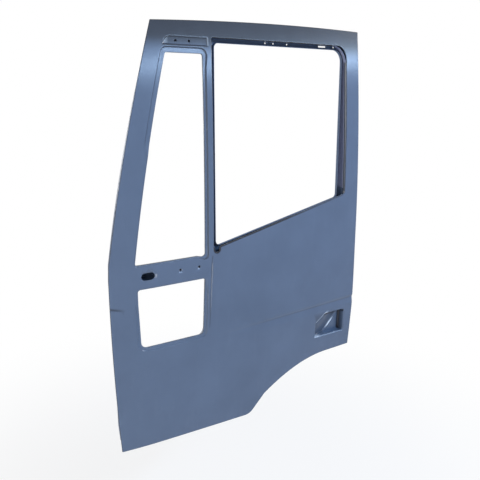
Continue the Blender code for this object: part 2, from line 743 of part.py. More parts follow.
def material(name, red, green, blue, roughness, metallic):
    made = bpy.data.materials.new(name)
    made.use_nodes = True
    shader = made.node_tree.nodes["Principled BSDF"]
    shader.inputs["Base Color"].default_value = (red, green, blue, 1.0)
    shader.inputs["Roughness"].default_value = roughness
    shader.inputs["Metallic"].default_value = metallic
    return made


def finish(name, bm, shade, smooth=True):
    """Turns a bmesh into a named object of primed steel."""
    bmesh.ops.recalc_face_normals(bm, faces=bm.faces)
    mesh = bpy.data.meshes.new(name)
    bm.to_mesh(mesh)
    bm.free()
    if smooth:
        mesh.shade_smooth()
        mesh.set_sharp_from_angle(angle=math.radians(32))
    piece = bpy.data.objects.new(name, mesh)
    bpy.context.collection.objects.link(piece)
    mesh.materials.append(material(name + "_paint", *shade))
    return piece


PRIMER = (0.115, 0.160, 0.262, 0.38, 0.0)
PRIMER_INSIDE = (0.090, 0.125, 0.205, 0.45, 0.0)
MASTIC_GREY = (0.035, 0.036, 0.040, 0.85, 0.0)
ZINC = (0.42, 0.43, 0.44, 0.40, 0.8)


def sheet(name, thickness, edges, level, spacing, lines, shade=PRIMER):
    """A pressed sheet: a filled face, the folds round each of its edges, and its thickness."""
    bm = bmesh.new()

    def skin_over(rings, raised, rails, creases, gap):
        plan, triangles, slots = fill(rings, creases, gap)
        pair = []
        for face in (0, 1):
            fixed = {}
            if rails:
                fixed = dict(zip(slots[0], rails[face]))
            pair.append([fixed.get(i) or bm.verts.new(place(u, w, raised(u, w) + face * thickness))
                         for i, (u, w) in enumerate(plan)])
            for triangle in triangles:
                bm.faces.new([pair[face][i] for i in triangle])
        return pair, slots

    (near, far), slots = skin_over([e.rail(0, 0.0) for e in edges], level, None, lines, spacing)
    for edge, ring in zip(edges, slots):
        rows = ([near[i] for i in ring], [far[i] for i in ring])
        for k in range(1, edge.count):
            new_rows = []
            for face in (0, 1):
                rail = edge.rail(k, face * thickness)
                new_rows.append([bm.verts.new(place(*p)) for p in rail])
                band(bm, rows[face], new_rows[face])
            rows = new_rows
        if edge.floor:
            raised, creases = edge.floor
            last = [(v.co.x + ORIGIN_U, v.co.z + LOWER_HINGE_W) for v in rows[0]]
            skin_over([last], raised, rows, creases, spacing)
        else:
            band(bm, rows[0], rows[1])
    return finish(name, bm, shade)


def strip(name, path, profile, thickness, shade=PRIMER_INSIDE):
    """A folded strip: an open profile of (s, depth, datum), s to the left, run along a path."""
    flat = [(s, depth + NOMINAL[kind]) for s, depth, kind in profile]
    back = offset_left(flat, thickness)
    far_profile = [(b[0], p[1] + b[1] - f[1], p[2]) for p, f, b in zip(profile, flat, back)]
    bm = bmesh.new()
    stations = []
    for point, normal in zip(path, mitres(path, closed=False)):
        ring = []
        for s, depth, kind in profile + far_profile[::-1]:
            u, w = point[0] + s * normal[0], point[1] + s * normal[1]
            ring.append(bm.verts.new(place(u, w, datum(u, w, kind) + depth)))
        stations.append(ring)
    for one, two in zip(stations, stations[1:]):
        band(bm, one, two)
    count = len(profile)
    for ring in (stations[0], stations[-1]):
        for i in range(count - 1):
            bm.faces.new((ring[i], ring[i + 1], ring[2 * count - 2 - i], ring[2 * count - 1 - i]))
    return finish(name, bm, shade)


def drill(piece, cuts):
    """Cuts holes: each cut is (centre, axis, length along the axis, width, height, round)."""
    bm = bmesh.new()
    for centre, axis, length, width, height, is_round in cuts:
        turn = Vector((0, 0, 1)).rotation_difference(Vector(axis)).to_matrix().to_4x4()
        size = Matrix.Diagonal((1, 1, 1, 1))
        if is_round:
            grown = bmesh.ops.create_cone(bm, cap_ends=True, segments=12, radius1=width,
                                          radius2=width, depth=length)
        else:
            grown = bmesh.ops.create_cube(bm, size=1.0)
            size = Matrix.Diagonal((height, width, length, 1))
        bmesh.ops.transform(bm, matrix=Matrix.Translation(centre) @ turn @ size, verts=grown["verts"])
    bmesh.ops.recalc_face_normals(bm, faces=bm.faces)
    mesh = bpy.data.meshes.new(piece.name + "_cutter")
    bm.to_mesh(mesh)
    bm.free()
    cutter = bpy.data.objects.new(piece.name + "_cutter", mesh)
    bpy.context.collection.objects.link(cutter)
    cutter.hide_render = True
    cutter.display_type = "WIRE"
    holes = piece.modifiers.new("holes", "BOOLEAN")
    holes.operation = "DIFFERENCE"
    holes.solver = "EXACT"
    holes.object = cutter


def circle(u, w, radius, steps=8):
    return [(u + radius * math.cos(2 * math.pi * k / steps), w + radius * math.sin(2 * math.pi * k / steps))
            for k in range(steps)]


def corner_box(low_u, low_w, high_u, high_w, radius):
    return [(low_u, low_w, radius), (high_u, low_w, radius),
            (high_u, high_w, radius), (low_u, high_w, radius)]


def plain_cut(kind):
    """Fold of a bare punched edge."""
    return [(0.0, 0.0, kind)]


# Outer edge of the door, counter-clockwise from the foot
CREASE_STATIONS = [crease_w(REAR_U) - CREASE_BELOW, crease_w(REAR_U), crease_w(REAR_U) + CREASE_ABOVE]
RAMP_TOP_W = inner_belt_w(REAR_U - FLANGE_WIDTH) - RAMP_BELOW_BELT


def arch_w(u):
    return parabola(u, ARCH_TOP_U, ARCH_TOP_W, ARCH_MID_U, ARCH_MID_W, ARCH_FOOT_U, ARCH_FOOT_W)


def heel_u(w):
    """Rear edge under the feature line, which leans forwards to the heel."""
    share = (CREASE_STATIONS[0] - w) / (CREASE_STATIONS[0] - HEEL_W)
    return REAR_U + (HEEL_U - REAR_U) * clamp(share)


def door_outline():
    points = [(FOOT_U, FOOT_W, EDGE_RADIUS)]
    points += list(zip(between(FOOT_U, SILL_END_U, 4), between(FOOT_W, SILL_END_W, 4)))
    points += [(SILL_END_U, SILL_END_W, SILL_END_RADIUS)]
    points += [(u, arch_w(u)) for u in [ARCH_FOOT_U] + between(ARCH_FOOT_U, ARCH_TOP_U, 5) + [ARCH_TOP_U]]
    points += [(HEEL_U, HEEL_W, EDGE_RADIUS)]
    points += [(heel_u(w), w) for w in between(HEEL_W, CREASE_STATIONS[0], 1)]
    levels = {LATCH_W - LATCH_PAD_HALF, LATCH_W + LATCH_PAD_HALF, RAMP_TOP_W - RAMP, RAMP_TOP_W}
    points += [(rear_u(w), w) for w in sorted(levels.union(CREASE_STATIONS))]
    points += [(rear_u(w), w) for w in between(RAMP_TOP_W, ROOF_REAR_W, 5)]
    points += [(ROOF_REAR_U, ROOF_REAR_W, EDGE_RADIUS)]
    points += [(u, roof_w(u)) for u in between(ROOF_REAR_U, ROOF_FRONT_U, 6)]
    points += [(ROOF_FRONT_U, ROOF_FRONT_W, EDGE_RADIUS)]
    points += [(pillar_u(w), w) for w in between(ROOF_FRONT_W, PILLAR_FOOT_W, 6)]
    levels = {PILLAR_FOOT_W, KNEE_W, RAMP_FRONT_W, RAMP_FOOT_W}
    points += [(front_u(w), w) for w in sorted(levels.union(LOWER_PAD, UPPER_PAD), reverse=True)]
    return points


def wall_outline():
    """The shut faces: the outer edge moved in by the flange, and upright at the hinges and strap."""
    outline = door_outline()
    moved = []
    for point, normal in zip(outline, mitres(outline)):
        u = point[0] + FLANGE_WIDTH * normal[0]
        w = point[1] + FLANGE_WIDTH * normal[1]
        if point[0] < ROOF_FRONT_U and LOWER_PAD[0] <= point[1] <= RAMP_FOOT_W:
            u, w = PAD_WALL_LOWER_U, point[1]
        if point[0] < ROOF_FRONT_U and UPPER_PAD[0] <= point[1] <= UPPER_PAD[1]:
            u, w = PAD_WALL_UPPER_U, point[1]
        moved.append((u, w) + tuple(max(r - FLANGE_WIDTH, BEND * 1.5) for r in point[2:]))
    return moved


def main_window():
    """Opening of the main window in the skin, with the relief notch at the belt's front end.

    Each point comes with the kind of fold that runs off it.
    """
    corner_w = belt_w(REAR_U - REAR_FRAME_FOOT)
    corner_u = window_rear_u(corner_w)
    start_u = RELIEF_U + RELIEF_RADIUS
    head_u = window_rear_u(WINDOW_HEAD_W - WINDOW_REAR_RADIUS)
    belt = between(start_u, corner_u, 5) + [corner_u - 2 * BELT_REAR_RADIUS]
    points = [((u, belt_w(u)), "hem") for u in belt]
    points += [((corner_u, corner_w, BELT_REAR_RADIUS), "flange")]
    points += [((window_rear_u(w), w), "flange")
               for w in between(corner_w, WINDOW_HEAD_W - WINDOW_REAR_RADIUS, 5)]
    points += [((head_u, WINDOW_HEAD_W, WINDOW_REAR_RADIUS), "flange")]
    points += [((u, WINDOW_HEAD_W), "flange")
               for u in between(head_u - WINDOW_REAR_RADIUS, DIVISION_HEAD_U, 4)]
    points += [((DIVISION_HEAD_U, WINDOW_HEAD_W, WINDOW_FRONT_RADIUS), "flange")]
    points += [((division_u(w), w), "flange") for w in between(WINDOW_HEAD_W, DIVISION_FOOT_W, 5)]
    points += [((DIVISION_FOOT_U, DIVISION_FOOT_W), "flange")]
    for k in range(6):
        angle = math.radians(150 + 40 * k)
        points += [((RELIEF_U + RELIEF_RADIUS * math.cos(angle),
                     RELIEF_W + RELIEF_RADIUS * math.sin(angle)), "notch")]
    points += [((start_u, belt_w(start_u)), "hem")]
    return points


def inner_window():
    front_w = inner_belt_w(INNER_WINDOW_FRONT_U)
    rear_w = inner_belt_w(INNER_WINDOW_REAR_U)
    points = [(INNER_WINDOW_FRONT_U, front_w, INNER_WINDOW_RADIUS)]
    points += [(u, inner_belt_w(u)) for u in between(INNER_WINDOW_FRONT_U, INNER_WINDOW_REAR_U, 4)]
    points += [(INNER_WINDOW_REAR_U, rear_w, INNER_WINDOW_RADIUS)]
    points += [(INNER_WINDOW_REAR_U, w) for w in between(rear_w, INNER_WINDOW_HEAD_W, 3)]
    points += [(INNER_WINDOW_REAR_U, INNER_WINDOW_HEAD_W, INNER_WINDOW_REAR_RADIUS)]
    points += [(u, INNER_WINDOW_HEAD_W) for u in between(INNER_WINDOW_REAR_U, INNER_WINDOW_FRONT_U, 4)]
    points += [(INNER_WINDOW_FRONT_U, INNER_WINDOW_HEAD_W, INNER_WINDOW_RADIUS)]
    points += [(INNER_WINDOW_FRONT_U, w) for w in between(INNER_WINDOW_HEAD_W, front_w, 3)]
    return points


def bar_front_u(w):
    return division_u(w) - BAR_WIDTH


def quarter_window():
    """Opening of the quarter window in the skin; the sill dips before its rear corner."""
    dip_u = bar_front_u(QUARTER_SILL_W) - QUARTER_DIP_REACH
    points = [(quarter_front_u(QUARTER_SILL_W), QUARTER_SILL_W, QUARTER_RADIUS)]
    points += [(u, QUARTER_SILL_W) for u in between(quarter_front_u(QUARTER_SILL_W), dip_u, 2)]
    points += [(dip_u - QUARTER_DIP_RADIUS, QUARTER_SILL_W)]
    points += [(bar_front_u(QUARTER_SILL_W), QUARTER_SILL_W - QUARTER_DIP, QUARTER_DIP_RADIUS)]
    points += [(bar_front_u(w), w) for w in between(QUARTER_SILL_W, QUARTER_HEAD_W, 5)]
    points += [(bar_front_u(QUARTER_HEAD_W), QUARTER_HEAD_W, QUARTER_RADIUS)]
    points += [(quarter_front_u(QUARTER_HEAD_W), QUARTER_HEAD_W, QUARTER_RADIUS)]
    points += [(quarter_front_u(w), w) for w in between(QUARTER_HEAD_W, QUARTER_SILL_W, 6)]
    return points


def lower_window():
    points = [(LOWER_FRONT_FOOT_U, LOWER_SILL_W, LOWER_RADIUS_FRONT)]
    points += [(u, LOWER_SILL_W) for u in between(LOWER_FRONT_FOOT_U, LOWER_REAR_FOOT_U, 1)]
    points += [(LOWER_REAR_FOOT_U, LOWER_SILL_W, LOWER_RADIUS_REAR)]
    points += [(LOWER_REAR_HEAD_U, LOWER_HEAD_W, LOWER_RADIUS_HEAD)]
    points += [(u, LOWER_HEAD_W) for u in between(LOWER_REAR_HEAD_U, LOWER_FRONT_HEAD_U, 1)]
    points += [(LOWER_FRONT_HEAD_U, LOWER_HEAD_W, LOWER_RADIUS_HEAD)]
    return points


def oval(u, w, length, height, steps=4):
    """Slot with round ends."""
    radius = height / 2
    reach = length / 2 - radius
    points = []
    for side, start in ((1, -90), (-1, 90)):
        for k in range(steps + 1):
            angle = math.radians(start + 180 * k / steps)
            points.append((u + side * reach + radius * math.cos(angle), w + radius * math.sin(angle)))
    return points


def handle_outline():
    return [(HANDLE_FRONT_U, HANDLE_SILL_W, HANDLE_RADIUS),
            (HANDLE_REAR_U, HANDLE_SILL_W, HANDLE_RADIUS),
            (HANDLE_REAR_U, HANDLE_HEAD_W, HANDLE_HEAD_RADIUS),
            (HANDLE_CHAMFER_U, HANDLE_HEAD_W, HANDLE_RADIUS),
            (HANDLE_FRONT_U, HANDLE_CHAMFER_W, HANDLE_RADIUS)]


DOOR = door_outline()
WALL = wall_outline()
MAIN = [point for point, _ in main_window()]
MAIN_FOLDS = [kind for _, kind in main_window()]
INNER_MAIN = inner_window()
QUARTER = quarter_window()
LOWER = lower_window()
HANDLE = handle_outline()


def tag(fold, kind):
    return [(s, depth, kind) for s, depth in fold]


def hem_fold():
    radius = (2 * SKIN + INNER + 2 * GAP) / 2
    path = [(-HEM_START, 0.0), (0.0, 0.0), (0.0, 2 * radius), (-HEM_WIDTH, 2 * radius)]
    return tag(rounded(path, radius, 2), SKIN_DATUM)


def window_fold(index):
    """Return flange round the main window: a hem along the belt, a short flange in the notch."""
    start = (-RETURN_RADIUS * 1.6, 0.0)
    if MAIN_FOLDS[index] == "hem":
        fold = [start, (-BELT_HEM_RADIUS, 0.0), (0.0, BELT_HEM_RADIUS),
                (-BELT_HEM_RADIUS, 2 * BELT_HEM_RADIUS), (-BELT_HEM_WIDTH, 2 * BELT_HEM_RADIUS)]
    elif MAIN_FOLDS[index] == "notch":
        fold = [start] + rounded([start, (0.0, 0.0), (0.0, NOTCH_DEPTH)], BELT_HEM_RADIUS, 2)[1:]
    else:
        fold = rounded([start, (0.0, 0.0), (0.0, RETURN_DEPTH)], RETURN_RADIUS, 2)
    return tag(fold, SKIN_DATUM)


def rebate_fold(width):
    """Shallow rebate for bonded glass, then a return flange at the opening."""
    path = [(-width - REBATE_LAND, 0.0), (-width, 0.0), (-width + REBATE_DEPTH * 0.7, REBATE_DEPTH),
            (0.0, REBATE_DEPTH), (0.0, REBATE_DEPTH + REBATE_RETURN)]
    if width == REBATE_SLIM:
        path[2] = (-width + REBATE_DEPTH * 0.2, REBATE_DEPTH * 0.25)
        path[3] = (0.0, REBATE_DEPTH * 0.3)
    return tag([path[0], path[1], path[2]] + rounded(path[2:], REBATE_RADIUS, 1)[1:], SKIN_DATUM)


def quarter_fold(index):
    """Wide rebate at the head and the upper half of the pillar, a narrower one along the bar."""
    u, w = QUARTER[index][:2]
    if w >= QUARTER_HEAD_W:
        return rebate_fold(REBATE_WIDE)
    if u >= bar_front_u(w):
        return rebate_fold(REBATE_BAR if w > QUARTER_SILL_W else REBATE_MID)
    return rebate_fold(REBATE_WIDE if w > PILLAR_MID_W else REBATE_SLIM)


def lower_fold(index):
    width = REBATE_MID if LOWER[index][1] < LOWER_HEAD_W else REBATE_SLIM
    return rebate_fold(width)


def wall_fold():
    """Bend, shut face and flange of the inner panel; the flange ends inside the hem."""
    low = SKIN + GAP
    return [(-BEND, 0.0, INNER_DATUM), (-BEND * 0.29, -BEND * 0.29, INNER_DATUM), (0.0, -BEND, INNER_DATUM),
            (0.0, low + FOOT_BEND, SKIN_DATUM), (FOOT_BEND, low, SKIN_DATUM),
            (FLANGE_WIDTH - SKIN - 2 * GAP - HEM_TIP, low, SKIN_DATUM)]


def lip_fold():
    return [(-LIP_RADIUS * 1.5, 0.0, INNER_DATUM), (-LIP_RADIUS, 0.0, INNER_DATUM),
            (0.0, -LIP_RADIUS, INNER_DATUM), (0.0, -LIP_DEPTH, INNER_DATUM)]


def funnel_fold():
    """Sloping sides round the fixed windows, lapped on the back of the skin's return flange."""
    lap = -(SKIN + GAP + INNER)
    return [(-FUNNEL_WIDTH - FUNNEL_BEND, 0.0, INNER_DATUM), (-FUNNEL_WIDTH, -FUNNEL_BEND, INNER_DATUM),
            (lap - FUNNEL_BEND, FUNNEL_MOUTH + FUNNEL_BEND, SKIN_DATUM), (lap, FUNNEL_MOUTH, SKIN_DATUM),
            (lap, FUNNEL_MOUTH - FUNNEL_LAP, SKIN_DATUM)]


def access_fold():
    return [(-ACCESS_LAND, 0.0, INNER_DATUM), (0.0, -ACCESS_LAND * 0.4, INNER_DATUM),
            (0.0, -ACCESS_FLANGE, INNER_DATUM)]


def handle_fold():
    """Raised step round the handle recess, then its drawn wall."""
    path = [(-HANDLE_LAND, 0.0), (-HANDLE_FILLET - HANDLE_STEP_RUN, 0.0), (-HANDLE_FILLET, HANDLE_STEP),
            (0.0, HANDLE_STEP + HANDLE_FILLET)]
    floor = [(HANDLE_DRAFT, 0.0, HANDLE_DATUM), (HANDLE_DRAFT + 2 * HANDLE_FILLET, 0.0, HANDLE_DATUM)]
    return tag(path, SKIN_DATUM) + floor


def handle_floor(u, w):
    """Depth of the recess's floor: a facet that falls to a diagonal ridge, and a flat behind it."""
    run = unit((RIDGE_FOOT_U, RIDGE_FOOT_W), (RIDGE_HEAD_U, RIDGE_HEAD_W))
    aside = (w - RIDGE_FOOT_W) * run[0] - (u - RIDGE_FOOT_U) * run[1]
    depth = HANDLE_DEPTH - HANDLE_RISE * clamp(aside / HANDLE_REACH)
    depth -= RIDGE_HEIGHT * clamp(1 - abs(aside) / RIDGE_HALF)
    return crown(u, w) + depth


# Fold lines kept in the faces of the two pressings
def crease_lines():
    spots = [CREASE_START_U, CREASE_START_U + CREASE_FADE / 2, CREASE_START_U + CREASE_FADE]
    spots += between(spots[-1], REAR_U - HEM_START, 3) + [REAR_U - HEM_START]
    lines = []
    for rise in (CREASE_ABOVE, 0.0, -CREASE_BELOW):
        lines.append([(u, crease_w(u) + rise * clamp((u - CREASE_START_U) / CREASE_FADE + CREASE_TIP))
                      for u in spots])
    return lines


def groove_lines():
    levels = [GROOVE_FOOT_W, GROOVE_FOOT_W + GROOVE_FADE]
    levels += between(levels[-1], GROOVE_TOP_W - GROOVE_TOP_FADE, 1)
    levels += [GROOVE_TOP_W - GROOVE_TOP_FADE, GROOVE_TOP_W]
    return [[(groove_u(w) + side * GROOVE_HALF, w) for w in levels] for side in (-1, 0, 1)]


def recess_lines():
    lines = []
    for inset in (0.0, RECESS_SLOPE):
        low_w, high_w = RECESS_SILL_W + inset, RECESS_HEAD_W - inset
        front, rear = RECESS_FRONT_U + inset, RECESS_REAR_U - inset
        arc = round_corner((rear, high_w), (front, high_w), (front, low_w), RECESS_RADIUS - inset, 4)
        middle = (front + rear) / 2
        lines.append([(middle, low_w), (rear, low_w), (rear, high_w), (middle, high_w)] + arc
                     + [(front, low_w), (middle, low_w)])
    return lines


def pillar_line():
    """Line along the front edge that lets the skin turn in towards the nose."""
    low = [(shin_u(w) + PILLAR_STRIP_INSET, w) for w in between(FOOT_W, KNEE_W, 6)]
    high = [(pillar_u(w) + PILLAR_STRIP_INSET, w) for w in between(PILLAR_FOOT_W, ROOF_FRONT_W, 8)]
    return low + high


def ridge_lines():
    run = unit((RIDGE_FOOT_U, RIDGE_FOOT_W), (RIDGE_HEAD_U, RIDGE_HEAD_W))
    ends = (HANDLE_SILL_W + 2.5 * HANDLE_DRAFT, HANDLE_HEAD_W - 2.5 * HANDLE_DRAFT)
    return [[(RIDGE_FOOT_U + ((w - RIDGE_FOOT_W) * run[0] - side) / run[1], w) for w in ends]
            for side in (-RIDGE_HALF, 0.0, RIDGE_HALF)]


def ramp_lines():
    lines = []
    front = front_u(RAMP_FRONT_W) + FLANGE_WIDTH + BEND
    end = RAMP_FRONT_U + RAMP
    rear = REAR_U - FLANGE_WIDTH - BEND
    lines.append([(front, RAMP_FRONT_W), (RAMP_FRONT_U, RAMP_FRONT_W)])
    lines.append([(PAD_WALL_LOWER_U + BEND, RAMP_FOOT_W), (end, RAMP_FOOT_W)])
    for drop in (RAMP_BELOW_BELT, RAMP_BELOW_BELT + RAMP):
        head = RAMP_FRONT_U if drop == RAMP_BELOW_BELT else end
        lines.append([(head, RAMP_FRONT_W), (head, inner_belt_w(head) - drop)]
                     + [(u, inner_belt_w(u) - drop) for u in between(end, rear, 3)]
                     + [(rear, inner_belt_w(rear) - drop)])
    return lines


# Outer skin: one pressing, hemmed at its outer edge
mirror_holes = [(MIRROR_UPPER_FRONT_U, MIRROR_UPPER_W), (MIRROR_UPPER_REAR_U, MIRROR_UPPER_W),
                (MIRROR_LOWER_FRONT_U, MIRROR_LOWER_W), (MIRROR_LOWER_REAR_U, MIRROR_LOWER_W)]
skin_edges = [Edge(DOOR, hem_fold(), hole=False), Edge(MAIN, window_fold), Edge(QUARTER, quarter_fold),
              Edge(LOWER, lower_fold),
              Edge(HANDLE, handle_fold(), floor=(handle_floor, ridge_lines())),
              Edge(oval(OVAL_U, OVAL_W, OVAL_LENGTH, OVAL_HEIGHT), plain_cut(SKIN_DATUM))]
skin_edges += [Edge(circle(u, w, MIRROR_HOLE), plain_cut(SKIN_DATUM)) for u, w in mirror_holes]
skin_lines = crease_lines() + groove_lines() + recess_lines() + [pillar_line()]
outer_panel = sheet("outer_panel", SKIN, skin_edges, crown, FIELD_SPACING, skin_lines)

# Inner panel: deep pressing whose flange lies in the hem
end_rail = len(wall_fold()) - 1
inner_edges = [Edge(WALL, wall_fold(), hole=False, own={end_rail: (DOOR, -FLANGE_WIDTH)}),
               Edge(INNER_MAIN, lip_fold()), Edge(QUARTER, funnel_fold()), Edge(LOWER, funnel_fold())]
front_access = corner_box(ACCESS_FRONT_U, ACCESS_SILL_W, ACCESS_MID_U, ACCESS_HEAD_W, ACCESS_RADIUS)
rear_access = corner_box(ACCESS_MID_U + ACCESS_POST, ACCESS_REAR_SILL_W, ACCESS_REAR_U, ACCESS_HEAD_W,
                         ACCESS_RADIUS)
inner_edges += [Edge(outline, access_fold()) for outline in
                (front_access, rear_access, circle(POCKET_U, POCKET_W, POCKET_RADIUS, 16))]
clip_holes = [(u, FOOT_W + CLIP_INSET) for u in between(FOOT_U, SILL_END_U, 3)]
clip_holes += [(REAR_U - FLANGE_WIDTH - CLIP_REAR_INSET, w)
               for w in (HANDLE_SILL_W, HANDLE_HEAD_W, LATCH_W, STIFFENER_W + 2 * STIFFENER_HALF)]
inner_edges += [Edge(circle(u, w, CLIP_HOLE, 6), plain_cut(INNER_DATUM)) for u, w in clip_holes]
inner_edges += [Edge(circle(REAR_U - reach, HEADER_SLOT_W, HEADER_HOLE, 6), plain_cut(INNER_DATUM))
                for reach in HEADER_HOLE_REACHES]
header_slot = corner_box(HEADER_SLOT_FRONT_U, HEADER_SLOT_W - HEADER_SLOT_HEIGHT / 2, HEADER_SLOT_REAR_U,
                         HEADER_SLOT_W + HEADER_SLOT_HEIGHT / 2, HEADER_SLOT_RADIUS)
inner_edges += [Edge(header_slot, plain_cut(INNER_DATUM))]
inner_panel = sheet("inner_panel", INNER, inner_edges, inner_plane, FIELD_SPACING, ramp_lines(),
                    PRIMER_INSIDE)

# Holes in the shut faces: two bolts at each hinge, the check strap slot, the latch mouth and bolts
AXIS = (1.0, 0.0, 0.0)
STRAP_W = (LOWER_PAD[1] + RAMP_FOOT_W) / 2
REAR_WALL_U = REAR_U - FLANGE_WIDTH


def hinge_cuts(wall_u, w, radius):
    return [(place(wall_u, w + side * HINGE_BOLT_REACH, HINGE_DEPTH), AXIS, 0.040, radius, radius, True)
            for side in (-1, 1)]


strap_cut = (place(PAD_WALL_LOWER_U, STRAP_W, STRAP_DEPTH), AXIS, 0.040, STRAP_SLOT_WIDTH,
             STRAP_SLOT_HEIGHT, False)
latch_cuts = [(place(REAR_WALL_U, LATCH_W, LATCH_DEPTH), AXIS, 0.030, LATCH_SLOT_WIDTH, LATCH_SLOT_HEIGHT,
               False)]
latch_cuts += [(place(REAR_WALL_U, LATCH_W + side * LATCH_BOLT_REACH, LATCH_DEPTH), AXIS, 0.030,
                LATCH_BOLT, LATCH_BOLT, True) for side in (-1, 1)]
drill(inner_panel, hinge_cuts(PAD_WALL_LOWER_U, LOWER_HINGE_W, HINGE_BOLT)
      + hinge_cuts(PAD_WALL_UPPER_U, UPPER_HINGE_W, HINGE_BOLT) + [strap_cut] + latch_cuts)

# Hinge reinforcements and the tapping plates that the hinge bolts screw into
for side, wall_u, hinge_w in (("lower", PAD_WALL_LOWER_U, LOWER_HINGE_W),
                              ("upper", PAD_WALL_UPPER_U, UPPER_HINGE_W)):
    inset = GAP + HINGE_PLATE
    reach = TAPPING_HALF + HINGE_PLATE_LAP
    path = [(wall_u, hinge_w + reach), (wall_u, hinge_w - reach)]
    profile = [(inset, HINGE_PLATE_CLEAR, SKIN_DATUM), (inset, -inset - BEND, INNER_DATUM),
               (inset + BEND, -inset, INNER_DATUM), (inset + HINGE_PLATE_FLANGE, -inset, INNER_DATUM)]
    plate = strip("hinge_reinforcement_" + side, path, profile, HINGE_PLATE)
    drill(plate, hinge_cuts(wall_u, hinge_w, HINGE_BOLT))
    inset += GAP + TAPPING_PLATE
    path = [(wall_u, hinge_w + TAPPING_HALF), (wall_u, hinge_w - TAPPING_HALF)]
    profile = [(inset, HINGE_DEPTH - TAPPING_WIDTH / 2, DOOR_DATUM),
               (inset, HINGE_DEPTH + TAPPING_WIDTH / 2, DOOR_DATUM)]
    block = strip("hinge_tapping_plate_" + side, path, profile, TAPPING_PLATE, ZINC)
    drill(block, hinge_cuts(wall_u, hinge_w, TAPPED_HOLE))

# Plate behind the shut face for the check strap
path = [(PAD_WALL_LOWER_U, STRAP_W + STRAP_HALF), (PAD_WALL_LOWER_U, STRAP_W - STRAP_HALF)]
profile = [(GAP + LATCH_PLATE, STRAP_DEPTH - STRAP_SLOT_WIDTH, DOOR_DATUM),
           (GAP + LATCH_PLATE, STRAP_DEPTH + STRAP_SLOT_WIDTH, DOOR_DATUM)]
check_strap_reinforcement = strip("check_strap_reinforcement", path, profile, LATCH_PLATE)
drill(check_strap_reinforcement, [strap_cut])

# Latch reinforcement: an angle behind the rear shut face
path = [(REAR_WALL_U, LATCH_W + LATCH_PLATE_HALF), (REAR_WALL_U, LATCH_W - LATCH_PLATE_HALF)]
inset = GAP + LATCH_PLATE
profile = [(-inset - LATCH_PLATE_FLANGE, -inset, INNER_DATUM), (-inset - BEND, -inset, INNER_DATUM),
           (-inset, -inset - BEND, INNER_DATUM), (-inset, LATCH_DEPTH - LATCH_PLATE_REACH, DOOR_DATUM)]
latch_reinforcement = strip("latch_reinforcement", path, profile, LATCH_PLATE)
drill(latch_reinforcement, latch_cuts)

# Roll-formed channel along the header and down the rear jamb, welded between skin and inner panel
head_u = window_rear_u(WINDOW_HEAD_W - WINDOW_REAR_RADIUS)
foot_w = belt_w(REAR_U - REAR_FRAME_FOOT) + 2 * BELT_REAR_RADIUS
head_start = DIVISION_HEAD_U + RUN_CHANNEL_BASE
path = [(head_start, WINDOW_HEAD_W)]
path += [(u, WINDOW_HEAD_W) for u in between(DIVISION_HEAD_U, head_u - WINDOW_REAR_RADIUS, 4)]
jamb_w = WINDOW_HEAD_W - 2 * WINDOW_REAR_RADIUS
path += round_corner((head_start, WINDOW_HEAD_W), (head_u, WINDOW_HEAD_W), (window_rear_u(jamb_w), jamb_w),
                     WINDOW_REAR_RADIUS, WIDE_CORNER_STEPS)
path += [(window_rear_u(w), w) for w in between(WINDOW_HEAD_W - WINDOW_REAR_RADIUS, foot_w, 4)]
path += [(window_rear_u(foot_w), foot_w)]
near = SKIN + GAP + CHANNEL
profile = [(near, RETURN_DEPTH / 3, SKIN_DATUM), (near, RUN_CHANNEL_STEP, SKIN_DATUM),
           (RUN_CHANNEL_BASE, RUN_CHANNEL_STEP, SKIN_DATUM), (RUN_CHANNEL_BASE, -GAP, INNER_DATUM),
           (RUN_CHANNEL_END, -GAP, INNER_DATUM)]
strip("window_run_channel", path, profile, CHANNEL)

# Channel down the back of the bar, then the two glass channels inside the door
path = [(division_u(w), w) for w in [WINDOW_HEAD_W - RUN_CHANNEL_BASE]
        + between(WINDOW_HEAD_W, DIVISION_CHANNEL_FOOT_W, 6) + [DIVISION_CHANNEL_FOOT_W]]
profile = [(-SKIN - GAP, RETURN_DEPTH / 3, SKIN_DATUM), (-SKIN - GAP, -GAP - CHANNEL, INNER_DATUM),
           (DIVISION_CHANNEL_FLANGE, -GAP - CHANNEL, INNER_DATUM)]
strip("division_channel", path, profile, CHANNEL)

front_u = division_u(DIVISION_CHANNEL_FOOT_W) - SKIN - GAP
rear_channel_u = window_rear_u(foot_w) + RUN_CHANNEL_BASE - CHANNEL
for side, u, top_w, hand in (("front", front_u, DIVISION_CHANNEL_FOOT_W - GAP, 1),
                             ("rear", rear_channel_u, foot_w - GAP, -1)):
    path = [(u, top_w), (u, GLASS_CHANNEL_FOOT_W)]
    leg = hand * GLASS_CHANNEL_LEG
    profile = [(leg, GLASS_CHANNEL_OUT, DOOR_DATUM), (0.0, GLASS_CHANNEL_OUT, DOOR_DATUM),
               (0.0, GLASS_CHANNEL_IN, DOOR_DATUM), (leg, GLASS_CHANNEL_IN, DOOR_DATUM)]
    strip(side + "_lower_channel", path, profile if hand > 0 else profile[::-1], CHANNEL)
    path = [(u, GLASS_CHANNEL_FOOT_W + BRACKET_HEIGHT), (u, GLASS_CHANNEL_FOOT_W)]
    seat = GLASS_CHANNEL_IN + CHANNEL + GAP
    web = GLASS_CHANNEL_LEG if hand > 0 else CHANNEL + 2 * GAP
    start = web - GLASS_CHANNEL_LEG + CHANNEL
    profile = [(start, seat, DOOR_DATUM), (web + CHANNEL, seat, DOOR_DATUM),
               (web + CHANNEL, -GAP - CHANNEL, INNER_DATUM),
               (web + BRACKET_FLANGE, -GAP - CHANNEL, INNER_DATUM)]
    strip(side + "_channel_bracket", path, profile, CHANNEL)

